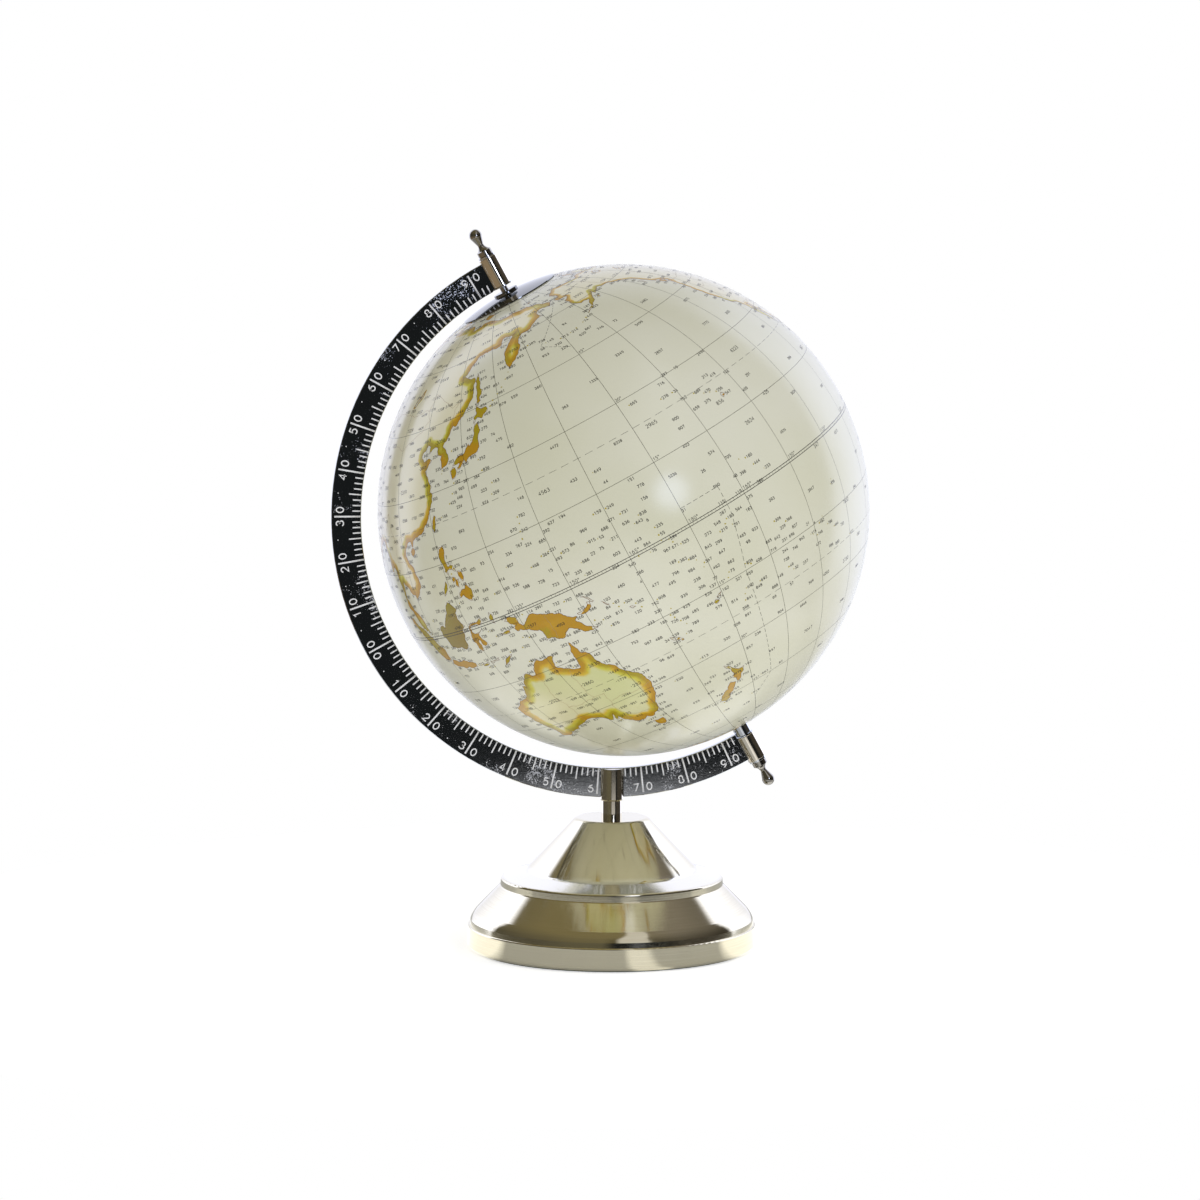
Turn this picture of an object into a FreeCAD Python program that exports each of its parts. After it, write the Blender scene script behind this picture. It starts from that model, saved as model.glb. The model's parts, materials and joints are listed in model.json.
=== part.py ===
import FreeCAD, Part
import math
import os

# Desk globe: a printed ball on a tilted axle, held by a graduated half-ring
# on a short stem and a spun metal foot.  Millimetres.
# +Z is up and the floor is Z = 0.  The stem stands on the Z axis, the
# half-ring lies in the XZ plane, and the north pole leans towards -X.

# ---------------------------------------------------------------- sizes
ball_r = 101.5                # 203 mm ball, the usual 8 inch globe
ball_wall = 2.0
axis_tilt = 28.4              # polar axis from the vertical, degrees

# Half-ring: a flat bar bent on edge
arc_centre_x = 1.3
arc_centre_z = 180.1
arc_outer_r = 117.4
arc_inner_r = 105.2
arc_thickness = 3.1
arc_edge_break = 0.25
axis_offset = 4.1             # polar axis from the centre of the bend

# Axle and the sleeves, washers and finials at its ends
rod_r = 1.6
rod_clear = 0.06              # running clearance round the rod
fixed_clear = 0.05            # clearance round the rod in parts that stand still
sleeve_r = 3.9
sleeve_length = {"north": 12.9, "south": 11.3}
sleeve_inset = {"north": 0.7, "south": 2.4}     # sleeve end from the bar's inner edge
sleeve_round = 0.25
cope_reach = 5.0              # how far the sleeve's hollow in the bar runs past the sleeve
washer_r = 3.6
washer_thick = 0.8
finial_length = 11.8
finial_collar_r = 3.05
finial_collar_h = 2.5
finial_neck_r = 1.25
finial_neck_h = 4.9
finial_bulb_r = 2.6
finial_thread_depth = 2.6
finial_low_edge = 0.25        # edge breaks of its collar
finial_top_edge = (0.5, 0.3)
finial_waist_swell = (0.42, 0.95)    # how the curve above the collar bows, out and up
finial_cone_angle = 28.0      # where the cone meets the bulb, degrees below its equator
finial_crown_angle = 35.0     # a point on the bulb's crown
rod_end_gap = 0.2             # rod end to the bottom of the finial's bore

# Pole fittings on the ball
pole_hole_r = 6.0
bush_flange_r = 9.0
bush_flange_thick = 1.5
bush_gap = 0.05               # moulded bush to the hole in the ball
dish_r = 20.7
dish_thick = 0.5
dish_lift = 0.6               # the dish's crown above the ball
dish_lip = 0.35               # height of the dish's outer edge
dish_gap = 0.02               # dish edge above the ball
dish_swell = 0.1              # how far the dish bows above the ball's curve
hub_edge = 0.4
hub_r = 5.2
hub_h = 1.1
south_collar_r = 3.5
thrust_washer_r = {"north": 4.6, "south": 3.8}
thrust_washer_thick = 0.4
washer_room = 0.15             # between the north thrust washer and the bar's end
thrust_gap = 0.3              # end play of the ball on its lower washer

# Joint band inside the equator of the ball
band_half_height = 8.0
band_wall = 1.4

# Post that carries the half-ring
post_r = 5.05
post_bottom_z = 61.3
post_top_inset = 0.2
post_chamfer = 0.6
spigot_r = 3.0
spigot_bottom_z = 42.5
stem_r = 4.25
stem_bore_r = 3.1

# Spun metal foot, outer profile from the rim to the crown
foot_r = 60.1
foot_bottom_z = 0.6
base_edge_in = 0.7            # the rim's lower edge is rounded by this much
rim_low_z = 1.6
rim_top_in = 0.35             # the rim leans in this much by its top
rim_top_z = 9.2
rim_round = (0.55, 9.6)       # inwards from the foot's radius, and height
ledge = (59.1, 9.8)
step_top = (58.8, 11.9)
skirt_bow = (57.7, 14.1)
skirt_low = (56.3, 15.9)
skirt_top = (46.6, 25.9)
lip_low = (46.3, 26.3)
lip_high = (46.2, 28.7)
lip_round = (45.95, 29.3)
lip_top = (45.3, 29.55)
shoulder_in = (36.9, 32.05)
cone_round = (36.1, 32.4)
cone_foot = (35.4, 32.9)
cone_top = (16.0, 53.4)
crown_round = (15.1, 54.0)
crown_r = 13.8
crown_z = 54.2
foot_wall = 1.0
mouth_rise = 0.6              # the open mouth is cut this far above the rim's lower edge

# Inside the foot
clamp_washer_r = 12.0
clamp_washer_thick = 1.5
lock_washer_r = 5.6
lock_washer_thick = 1.5
nut_across_flats = 10.0
nut_h = 5.0
bottom_board_r = 58.2
bottom_board_z = 1.0
bottom_board_thick = 2.6
ballast_r = 50.0
ballast_hole_r = 20.0
ballast_thick = 6.0
felt_r = 58.0
felt_thick = 1.0

# ---------------------------------------------------------------- frame
Vec = FreeCAD.Vector
tilt = math.radians(axis_tilt)
pole = Vec(-math.sin(tilt), 0, math.cos(tilt))
across = Vec(math.cos(tilt), 0, math.sin(tilt))
up = Vec(0, 0, 1)
arc_centre = Vec(arc_centre_x, 0, arc_centre_z)
ball_centre = arc_centre + across * axis_offset

bar_edge = math.sqrt(arc_inner_r ** 2 - axis_offset ** 2)
sleeve_start = {side: bar_edge + inset for side, inset in sleeve_inset.items()}
sleeve_end = {side: sleeve_start[side] + sleeve_length[side] for side in sleeve_start}
bush_top = math.sqrt(ball_r ** 2 - pole_hole_r ** 2)
to_pole = FreeCAD.Placement(ball_centre, FreeCAD.Rotation(up, pole))
to_south = FreeCAD.Placement(ball_centre, FreeCAD.Rotation(up, pole * -1))
side_frames = {"north": to_pole, "south": to_south}


def save(shape, node):
    """Write one sub-part, named as its node."""
    shape.exportStep("parts/" + node + ".step")


def placed(shape, frame):
    """The shape, moved from the local Z axis into its place."""
    out = shape.copy()
    out.Placement = frame.multiply(out.Placement)
    return out


def disc(radius, z0, z1, bore=0.0):
    """A cylinder on the Z axis from z0 to z1, with an optional bore."""
    body = Part.makeCylinder(radius, z1 - z0, Vec(0, 0, z0))
    if bore > 0:
        body = body.cut(Part.makeCylinder(bore, z1 - z0 + 2, Vec(0, 0, z0 - 1)))
    return body


def point(r, z):
    """A profile point at radius r and height z."""
    return Vec(r, 0, z)


def line(a, b):
    """A straight profile edge between two (r, z) pairs."""
    return Part.LineSegment(point(*a), point(*b)).toShape()


def arc(a, middle, b):
    """A circular profile edge through three (r, z) pairs."""
    return Part.Arc(point(*a), point(*middle), point(*b)).toShape()


def turned(edges):
    """The solid swept by a closed profile turning about the Z axis."""
    face = Part.Face(Part.Wire(edges))
    return face.revolve(Vec(0, 0, 0), up, 360)


def round_ends(body, size):
    """Break every circular end edge of a turned piece."""
    rims = [e for e in body.Edges if isinstance(e.Curve, Part.Circle)]
    return body.makeFillet(size, rims)


# ---------------------------------------------------------------- the ball
def half_ball(sign):
    """One moulded half of the ball, from the equator to its pole hole."""
    shell = Part.makeSphere(ball_r)
    shell = shell.cut(Part.makeSphere(ball_r - ball_wall))
    reach = 2 * ball_r
    low = 0 if sign > 0 else -reach
    shell = shell.common(Part.makeCylinder(reach, reach, Vec(0, 0, low)))
    return shell.cut(disc(pole_hole_r, -reach, reach))


def equator_band():
    """The inner band that the two halves are cemented to."""
    outer = Part.makeSphere(ball_r - ball_wall)
    inner = Part.makeSphere(ball_r - ball_wall - band_wall)
    slab = Part.makeCylinder(ball_r, 2 * band_half_height, Vec(0, 0, -band_half_height))
    return outer.cut(inner).common(slab)


def pole_bush():
    """Moulded bush: an inner flange and a barrel through the pole hole."""
    seat = math.sqrt((ball_r - ball_wall) ** 2 - bush_flange_r ** 2) - bush_gap
    flange = disc(bush_flange_r, seat - bush_flange_thick, seat)
    barrel = disc(pole_hole_r - bush_gap, seat - 1, bush_top)
    return flange.fuse(barrel).removeSplitter().cut(disc(rod_r + rod_clear, 0, 2 * ball_r))


def pole_dish():
    """Domed dish on the north pole with a raised hub in the middle."""
    r_in = dish_r - dish_lip
    under = math.sqrt(ball_r ** 2 - r_in ** 2) + dish_gap
    crown = ball_r + dish_lift
    inner_crown = crown - dish_thick
    mid_r = (hub_r + dish_r) / 2
    mid_z = math.sqrt(ball_r ** 2 - mid_r ** 2) + dish_thick + dish_swell
    bore = rod_r + rod_clear
    hub_top = crown + hub_h
    bow = hub_edge * (1 - math.sqrt(0.5))
    return turned([
        line((dish_r, under), (dish_r, under + dish_lip)),
        arc((dish_r, under + dish_lip), (mid_r, mid_z), (hub_r, crown)),
        line((hub_r, crown), (hub_r, hub_top - hub_edge)),
        arc((hub_r, hub_top - hub_edge), (hub_r - bow, hub_top - bow), (hub_r - hub_edge, hub_top)),
        line((hub_r - hub_edge, hub_top), (bore, hub_top)),
        line((bore, hub_top), (bore, bush_top)),
        line((bore, bush_top), (hub_r, bush_top)),
        line((hub_r, bush_top), (hub_r, inner_crown)),
        arc((hub_r, inner_crown), (mid_r, mid_z - dish_thick), (r_in, under)),
        line((r_in, under), (dish_r, under)),
    ])


def south_collar():
    """Collar on the south pole, on which the ball's weight rests."""
    top = sleeve_start["south"] - thrust_washer_thick - thrust_gap
    return disc(south_collar_r, bush_top, top, rod_r + rod_clear)


# ---------------------------------------------------------------- axle
def axle_rod():
    """Straight steel rod through the ball, screwed into both finials."""
    reach = washer_thick + finial_thread_depth - rod_end_gap
    return disc(rod_r, -sleeve_end["south"] - reach, sleeve_end["north"] + reach)


def sleeve(side):
    """Tube at one end of the half-ring that the axle passes through."""
    tube = disc(sleeve_r, sleeve_start[side], sleeve_end[side])
    tube = round_ends(tube, sleeve_round)
    return tube.cut(disc(rod_r + fixed_clear, 0, 2 * ball_r))


def end_washer(side):
    """Flat washer between a sleeve and its finial."""
    start = sleeve_end[side]
    return disc(washer_r, start, start + washer_thick, rod_r + fixed_clear)


def thrust_washer(side):
    """Thin washer under a sleeve, which the ball turns against."""
    end = sleeve_start[side]
    return disc(thrust_washer_r[side], end - thrust_washer_thick, end, rod_r + fixed_clear)


def finial(side):
    """Turned cap nut: a collar, a waisted neck and a drop-shaped end."""
    z0 = sleeve_end[side] + washer_thick
    tip = z0 + finial_length
    bulb_z = tip - finial_bulb_r
    collar_top = z0 + finial_collar_h
    low, (top_in, top_down) = finial_low_edge, finial_top_edge
    swell_out, swell_up = finial_waist_swell

    def on_bulb(degrees):
        """A point of the bulb, by its angle above the bulb's equator."""
        turn = math.radians(degrees)
        return finial_bulb_r * math.cos(turn), bulb_z + finial_bulb_r * math.sin(turn)

    touch = on_bulb(-finial_cone_angle)
    waist = (finial_neck_r, z0 + finial_neck_h)
    collar_edge = (finial_collar_r - top_in, collar_top)
    shape = turned([
        line((0, z0), (finial_collar_r - low, z0)),
        line((finial_collar_r - low, z0), (finial_collar_r, z0 + low)),
        line((finial_collar_r, z0 + low), (finial_collar_r, collar_top - top_down)),
        line((finial_collar_r, collar_top - top_down), collar_edge),
        arc(collar_edge, (finial_neck_r + swell_out, collar_top + swell_up), waist),
        line(waist, touch),
        arc(touch, on_bulb(finial_crown_angle), (0, tip)),
        line((0, tip), (0, z0)),
    ])
    return shape.cut(disc(rod_r, z0 - 1, z0 + finial_thread_depth))


# ---------------------------------------------------------------- half-ring
def bar_section():
    """Cross-section of the half-ring's bar, with broken edges, in the XY plane."""
    x0, x1 = arc_inner_r, arc_outer_r
    y1 = arc_thickness / 2
    y0 = -y1
    cut = arc_edge_break
    outline = [(x0 + cut, y0), (x1 - cut, y0), (x1, y0 + cut), (x1, y1 - cut),
               (x1 - cut, y1), (x0 + cut, y1), (x0, y1 - cut), (x0, y0 + cut)]
    corners = [Vec(x, y, 0) for x, y in outline]
    return Part.Face(Part.makePolygon(corners + corners[:1]))


def meridian_arc():
    """Flat bar bent on edge, coped at both ends to fit the sleeves."""
    middle_r = (arc_inner_r + arc_outer_r) / 2
    half_span = 90 + math.degrees(math.asin(axis_offset / middle_r))
    # About +Y a positive turn takes +X down, so the bar starts at the south end
    south_end = 180 + axis_tilt + half_span
    section = bar_section()
    section.rotate(Vec(0, 0, 0), Vec(0, 1, 0), -south_end)
    ring = section.revolve(Vec(0, 0, 0), Vec(0, 1, 0), 2 * half_span)
    ring.translate(arc_centre)
    for side in ("north", "south"):
        cope = disc(sleeve_r, sleeve_start[side] - cope_reach, sleeve_end[side] + cope_reach)
        ring = ring.cut(placed(cope, side_frames[side]))
        room_r = thrust_washer_r[side] + washer_room
        if room_r > sleeve_r:
            room = disc(room_r, sleeve_start[side] - cope_reach, sleeve_start[side])
            ring = ring.cut(placed(room, side_frames[side]))
    return ring


def stem_post(ring):
    """Post slotted over the bar, with a threaded spigot below it."""
    top = arc_centre_z - arc_inner_r - post_top_inset
    post = disc(post_r, post_bottom_z, top)
    bottom_rim = [e for e in post.Edges
                  if isinstance(e.Curve, Part.Circle) and abs(e.CenterOfMass.z - post_bottom_z) < 1e-6]
    post = post.makeChamfer(post_chamfer, bottom_rim)
    spigot = disc(spigot_r, spigot_bottom_z, post_bottom_z + 1)
    return post.fuse(spigot).removeSplitter().cut(ring)


def stem_tube():
    """Spacer tube between the post and the crown of the foot."""
    return disc(stem_r, crown_z, post_bottom_z, stem_bore_r)


# ---------------------------------------------------------------- foot
def foot_solid(inset):
    """Solid of the foot's outline, drawn in by the inset all round."""

    def moved(p, out_share, up_share):
        """A profile point, moved inwards by shares of the inset."""
        return p[0] - inset * out_share, p[1] - inset * up_share

    def normal_of(a, b):
        """The shares that move a straight stretch inwards, square to itself."""
        slope = math.atan2(a[1] - b[1], b[0] - a[0])
        return math.sin(slope), math.cos(slope)

    cone = normal_of(cone_top, cone_foot)
    skirt = normal_of(skirt_top, skirt_low)
    bow = normal_of(skirt_low, step_top)
    lip = normal_of(lip_top, lip_high)
    sideways, downwards = (1, 0), (0, 1)
    base_edge = moved((foot_r - base_edge_in, foot_bottom_z), *sideways)
    rim_low = moved((foot_r, rim_low_z), *sideways)
    rim_high = moved((foot_r - rim_top_in, rim_top_z), *sideways)
    rim_mid = moved((foot_r - rim_round[0], rim_round[1]), *sideways)
    ledge_in = moved(ledge, *sideways)
    step_in = moved(step_top, *sideways)
    skirt_foot = moved(skirt_low, *skirt)
    skirt_head = moved(skirt_top, *skirt)
    lip_foot = moved(lip_low, *sideways)
    lip_side = moved(lip_high, *sideways)
    lip_head = moved(lip_top, *downwards)
    shoulder = moved(shoulder_in, *downwards)
    cone_low = moved(cone_foot, *cone)
    cone_high = moved(cone_top, *cone)
    crown_edge = moved((crown_r, crown_z), *downwards)
    return turned([
        line((0, foot_bottom_z), base_edge),
        line(base_edge, rim_low),
        line(rim_low, rim_high),
        arc(rim_high, rim_mid, ledge_in),
        line(ledge_in, step_in),
        arc(step_in, moved(skirt_bow, *bow), skirt_foot),
        line(skirt_foot, skirt_head),
        line(skirt_head, lip_foot),
        line(lip_foot, lip_side),
        arc(lip_side, moved(lip_round, *lip), lip_head),
        line(lip_head, shoulder),
        arc(shoulder, moved(cone_round, *cone), cone_low),
        line(cone_low, cone_high),
        arc(cone_high, moved(crown_round, *cone), crown_edge),
        line(crown_edge, (0, crown_edge[1])),
        line((0, crown_edge[1]), (0, foot_bottom_z)),
    ])


def foot_shell():
    """Spun sheet foot, open below, with a hole in the crown for the spigot."""
    hollow = foot_solid(foot_wall)
    mouth = disc(foot_r - foot_wall - base_edge_in, foot_bottom_z - 1, foot_bottom_z + mouth_rise)
    shell = foot_solid(0).cut(hollow).cut(mouth)
    return shell.cut(disc(stem_bore_r, crown_z - 5, crown_z + 1))


def hex_nut(z0):
    """Hexagon nut on the spigot."""
    corner_r = nut_across_flats / math.sqrt(3)
    corners = [Vec(corner_r * math.cos(math.radians(60 * i)),
                   corner_r * math.sin(math.radians(60 * i)), z0) for i in range(7)]
    prism = Part.Face(Part.makePolygon(corners)).extrude(Vec(0, 0, nut_h))
    return prism.cut(disc(spigot_r, z0 - 1, z0 + nut_h + 1))


# ---------------------------------------------------------------- build
os.makedirs("parts", exist_ok=True)

save(placed(half_ball(+1), to_pole), "north_hemisphere")
save(placed(half_ball(-1), to_pole), "south_hemisphere")
save(placed(equator_band(), to_pole), "equator_band")
save(placed(pole_bush(), to_pole), "north_bush")
save(placed(pole_bush(), to_south), "south_bush")
save(placed(pole_dish(), to_pole), "north_dish")
save(placed(south_collar(), to_south), "south_collar")

save(placed(axle_rod(), to_pole), "axle_rod")
for side, frame in side_frames.items():
    save(placed(sleeve(side), frame), side + "_sleeve")
    save(placed(end_washer(side), frame), side + "_end_washer")
    save(placed(thrust_washer(side), frame), side + "_thrust_washer")
    save(placed(finial(side), frame), side + "_finial")

ring = meridian_arc()
save(ring, "meridian_arc")
save(stem_post(ring), "stem_post")
save(stem_tube(), "stem_tube")

save(foot_shell(), "foot_shell")
washer_top = crown_z - foot_wall
washer_low = washer_top - clamp_washer_thick
lock_low = washer_low - lock_washer_thick
save(disc(clamp_washer_r, washer_low, washer_top, stem_bore_r), "clamp_washer")
save(disc(lock_washer_r, lock_low, washer_low, stem_bore_r), "lock_washer")
save(hex_nut(lock_low - nut_h), "clamp_nut")
board_top = bottom_board_z + bottom_board_thick
save(disc(bottom_board_r, bottom_board_z, board_top), "bottom_board")
save(disc(ballast_r, board_top, board_top + ballast_thick, ballast_hole_r), "ballast_ring")
save(disc(felt_r, 0, felt_thick), "felt_pad")
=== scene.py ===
"""Desk globe: the printed ball, its graduated half-ring, the stem and the spun foot.

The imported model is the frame. The ball's skin and map, and the scale on the half-ring, are
built here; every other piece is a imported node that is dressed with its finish.
"""

import json
import logging
import math
import random
from dataclasses import dataclass, field
from enum import Enum

import bpy
import numpy as np
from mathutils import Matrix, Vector, kdtree


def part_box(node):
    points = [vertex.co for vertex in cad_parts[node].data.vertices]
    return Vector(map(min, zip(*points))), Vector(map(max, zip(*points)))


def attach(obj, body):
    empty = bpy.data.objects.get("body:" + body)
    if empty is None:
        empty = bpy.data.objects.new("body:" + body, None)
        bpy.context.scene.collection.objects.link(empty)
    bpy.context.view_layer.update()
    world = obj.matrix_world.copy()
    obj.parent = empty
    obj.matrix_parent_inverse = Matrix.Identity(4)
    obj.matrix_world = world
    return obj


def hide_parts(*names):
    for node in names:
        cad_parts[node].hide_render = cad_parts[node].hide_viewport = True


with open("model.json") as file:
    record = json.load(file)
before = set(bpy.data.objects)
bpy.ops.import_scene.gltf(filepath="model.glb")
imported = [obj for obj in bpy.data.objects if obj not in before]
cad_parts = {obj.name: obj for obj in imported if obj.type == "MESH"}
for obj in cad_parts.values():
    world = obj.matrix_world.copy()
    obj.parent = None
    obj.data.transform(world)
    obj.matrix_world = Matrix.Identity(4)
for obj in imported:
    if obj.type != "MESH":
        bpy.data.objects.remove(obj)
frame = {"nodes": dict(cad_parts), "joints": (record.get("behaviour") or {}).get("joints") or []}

log = logging.getLogger("globe")

MM = 0.001
DEGREES = 57.29578
SCRATCH_DEPTH = 0.00002
Tone = tuple[float, float, float, float]
Array = np.ndarray
Node = bpy.types.Node
Socket = bpy.types.NodeSocket
Tree = bpy.types.NodeTree
Stroke = tuple[list[tuple[float, float]], bool]


def tone(red: int, green: int, blue: int) -> Tone:
    """A colour written as 0-255 display values, in the linear values that shaders take.

    Args:
        red: the red channel.
        green: the green channel.
        blue: the blue channel.

    Returns:
        The linear colour, opaque.
    """

    def linear(value: int) -> float:
        """One channel from display to linear."""
        share = value / 255
        return share / 12.92 if share <= 0.04045 else ((share + 0.055) / 1.055) ** 2.4

    return linear(red), linear(green), linear(blue), 1.0


class Body(Enum):
    """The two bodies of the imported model."""

    GLOBE = "globe"
    STAND = "stand"


class Slot(Enum):
    """The record's material slots."""

    BALL = "printed_ball"
    CHROME = "chrome"


# ---------------------------------------------------------------- finishes
class Nodes:
    """One shader or group tree, built node by node."""

    def __init__(self, tree: Tree) -> None:
        """Takes an empty tree."""
        self.tree = tree

    @classmethod
    def of(cls, owner: bpy.types.ID) -> "Nodes":
        """Empties a node tree and takes it.

        Args:
            owner: the material or the world.

        Returns:
            Its nodes.
        """
        owner.use_nodes = True
        owner.node_tree.nodes.clear()
        return cls(owner.node_tree)

    def add(self, kind: str, inputs: dict | None = None, **settings: object) -> Node:
        """Adds a node.

        Args:
            kind: the node's type, without its common prefix.
            inputs: a value or an output socket for each input, by name or number.
            settings: the node's own properties.

        Returns:
            The new node.
        """
        node = self.tree.nodes.new("ShaderNode" + kind)
        for name, value in settings.items():
            setattr(node, name, value)
        self.fill(node, inputs or {})
        return node

    def fill(self, node: Node, inputs: dict) -> None:
        """Gives inputs their values, or links outputs to them.

        Args:
            node: the node.
            inputs: a value or an output socket for each input, by name or number.
        """
        for key, value in inputs.items():
            if isinstance(value, Socket):
                self.tree.links.new(value, node.inputs[key])
            else:
                node.inputs[key].default_value = value

    def math(self, operation: str, *values: object) -> Socket:
        """A Math node's result."""
        return self.add("Math", dict(enumerate(values)), operation=operation).outputs[0]

    def times(self, *values: object) -> Socket:
        """The product of two values."""
        return self.math("MULTIPLY", *values)

    def ramp(self, value: object, low: float, high: float, start: float = 0.0,
             end: float = 1.0, smooth: bool = False) -> Socket:
        """The value, moved from low..high to start..end and held there.

        Args:
            value: a number or an output socket.
            low: the value that gives start.
            high: the value that gives end.
            start: the result at and below low.
            end: the result at and above high.
            smooth: whether the way between eases in and out.

        Returns:
            The result's socket.
        """
        shape = "SMOOTHSTEP" if smooth else "LINEAR"
        node = self.add("MapRange", {0: value, 1: low, 2: high, 3: start, 4: end},
                        interpolation_type=shape)
        return node.outputs[0]

    def mix(self, share: object, first: object, second: object) -> Socket:
        """Two colours mixed by a share.

        Args:
            share: how much of the second colour shows.
            first: the first colour.
            second: the second colour.

        Returns:
            The mixed colour's socket.
        """
        node = self.add("Mix", data_type="RGBA")
        self.fill(node, {0: share, 6: first, 7: second})
        return node.outputs[2]

    def noise(self, place: object, scale: object, detail: float = 2.0,
              rough: float = 0.5) -> Socket:
        """Noise between 0 and 1 at a place."""
        inputs = {"Vector": place, "Scale": scale, "Detail": detail, "Roughness": rough}
        return self.add("TexNoise", inputs).outputs[0]

    def object_place(self) -> Socket:
        """Object coordinates, in metres."""
        return self.add("TexCoord").outputs["Object"]

    def group(self, group: Tree, **inputs: object) -> Node:
        """Places a shared group with its own values."""
        return self.add("Group", inputs, node_tree=group)

    def bump(self, height: Socket, strength: float, distance: float) -> Socket:
        """The normal of a surface bumped by a height."""
        inputs = {"Strength": strength, "Distance": distance, "Height": height}
        return self.add("Bump", inputs).outputs[0]


def new_group(name: str, inputs: dict[str, tuple[str, object]],
              outputs: dict[str, str]) -> tuple[Nodes, Node, Node]:
    """Starts a shared node group.

    Args:
        name: the group's name.
        inputs: each input's kind of socket and first value.
        outputs: each output's kind of socket.

    Returns:
        The group's nodes, its input node and its output node.
    """
    tree = bpy.data.node_groups.new(name, "ShaderNodeTree")
    for label, (kind, value) in inputs.items():
        socket = tree.interface.new_socket(label, in_out="INPUT", socket_type="NodeSocket" + kind)
        if value is not None:
            socket.default_value = value
    for label, kind in outputs.items():
        tree.interface.new_socket(label, in_out="OUTPUT", socket_type="NodeSocket" + kind)
    return Nodes(tree), tree.nodes.new("NodeGroupInput"), tree.nodes.new("NodeGroupOutput")


class Effects:
    """The shader groups that several finishes share, each built once."""

    def __init__(self) -> None:
        """Builds the groups."""
        self.wear = self._wear()
        self.grain = self._grain()
        self.lathe = self._lathe()

    @staticmethod
    def _wear() -> Tree:
        """Handling wear: patches of fine dull specks on a polish.

        Returns:
            The group's tree.
        """
        n, given, out = new_group(
            "handling_wear",
            {"Place": ("Vector", None), "Scale": ("Float", 60.0),
             "Low": ("Float", 0.05), "High": ("Float", 0.2)},
            {"Mask": "Float", "Value": "Float"})
        patches = n.noise(given.outputs["Place"], given.outputs["Scale"], 3.0, 0.55)
        specks = n.noise(given.outputs["Place"], 1700.0, 2.0, 0.6)
        limit = n.math("MULTIPLY_ADD", n.ramp(patches, 0.42, 0.7, smooth=True), -0.3, 0.75)
        mask = n.ramp(n.math("SUBTRACT", specks, limit), 0.0, 0.1)
        span = n.math("SUBTRACT", given.outputs["High"], given.outputs["Low"])
        n.fill(out, {"Mask": mask,
                     "Value": n.math("MULTIPLY_ADD", mask, span, given.outputs["Low"])})
        return n.tree

    @staticmethod
    def _grain() -> Tree:
        """Fine speckle with a height, for cast, pressed and fibrous surfaces.

        Returns:
            The group's tree.
        """
        n, given, out = new_group(
            "speckle",
            {"Place": ("Vector", None), "Scale": ("Float", 900.0),
             "Dark": ("Color", (0.1, 0.1, 0.1, 1)),
             "Light": ("Color", (0.3, 0.3, 0.3, 1))},
            {"Color": "Color", "Height": "Float"})
        fine = n.noise(given.outputs["Place"], given.outputs["Scale"], 5.0, 0.6)
        shown = n.mix(n.ramp(fine, 0.3, 0.7), given.outputs["Dark"], given.outputs["Light"])
        n.fill(out, {"Color": shown, "Height": fine})
        return n.tree

    @staticmethod
    def _lathe() -> Tree:
        """Lathe lines: fine rings round the Z axis, as a mask.

        Returns:
            The group's tree.
        """
        n, given, out = new_group(
            "lathe_lines",
            {"Place": ("Vector", None), "Pitch": ("Float", 3000.0)},
            {"Mask": "Float"})
        axes = n.add("SeparateXYZ", {0: given.outputs["Place"]}).outputs
        reach = n.add("CombineXYZ", {0: axes[0], 1: axes[1]}).outputs[0]
        radius = n.add("VectorMath", {0: reach}, operation="LENGTH").outputs["Value"]
        turn = n.math("ARCTAN2", axes[1], axes[0])
        lane = n.add("CombineXYZ", {0: n.times(radius, given.outputs["Pitch"]),
                                    1: n.times(axes[2], given.outputs["Pitch"]),
                                    2: n.times(turn, 1.1)}).outputs[0]
        n.fill(out, {"Mask": n.ramp(n.noise(lane, 1.0, 3.0, 0.7), 0.3, 0.7)})
        return n.tree


class Finish:
    """A finish: one procedural material, built the first time it is asked for."""

    made: dict[str, bpy.types.Material] = {}
    effects: Effects

    def material(self) -> bpy.types.Material:
        """The finish's material.

        Returns:
            The material, the same one each time.
        """
        if self.name not in Finish.made:
            made = bpy.data.materials.new(self.name)
            nodes = Nodes.of(made)
            shader = nodes.add("BsdfPrincipled", self.inputs(nodes))
            nodes.add("OutputMaterial", {"Surface": shader.outputs[0]})
            Finish.made[self.name] = made
        return Finish.made[self.name]

    def inputs(self, n: Nodes) -> dict[str, object]:
        """Builds the nodes that drive the shader, and gives its inputs."""
        raise NotImplementedError


@dataclass(frozen=True)
class Varnish:
    """Clear gloss over the paper, the same over its inks."""

    weight: float = 1.0
    roughness: float = 0.2
    ior: float = 1.5

    def inputs(self) -> dict[str, float]:
        """The shader's coat inputs."""
        return {"Coat Weight": self.weight, "Coat Roughness": self.roughness,
                "Coat IOR": self.ior, "Specular IOR Level": 0.1}


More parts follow.
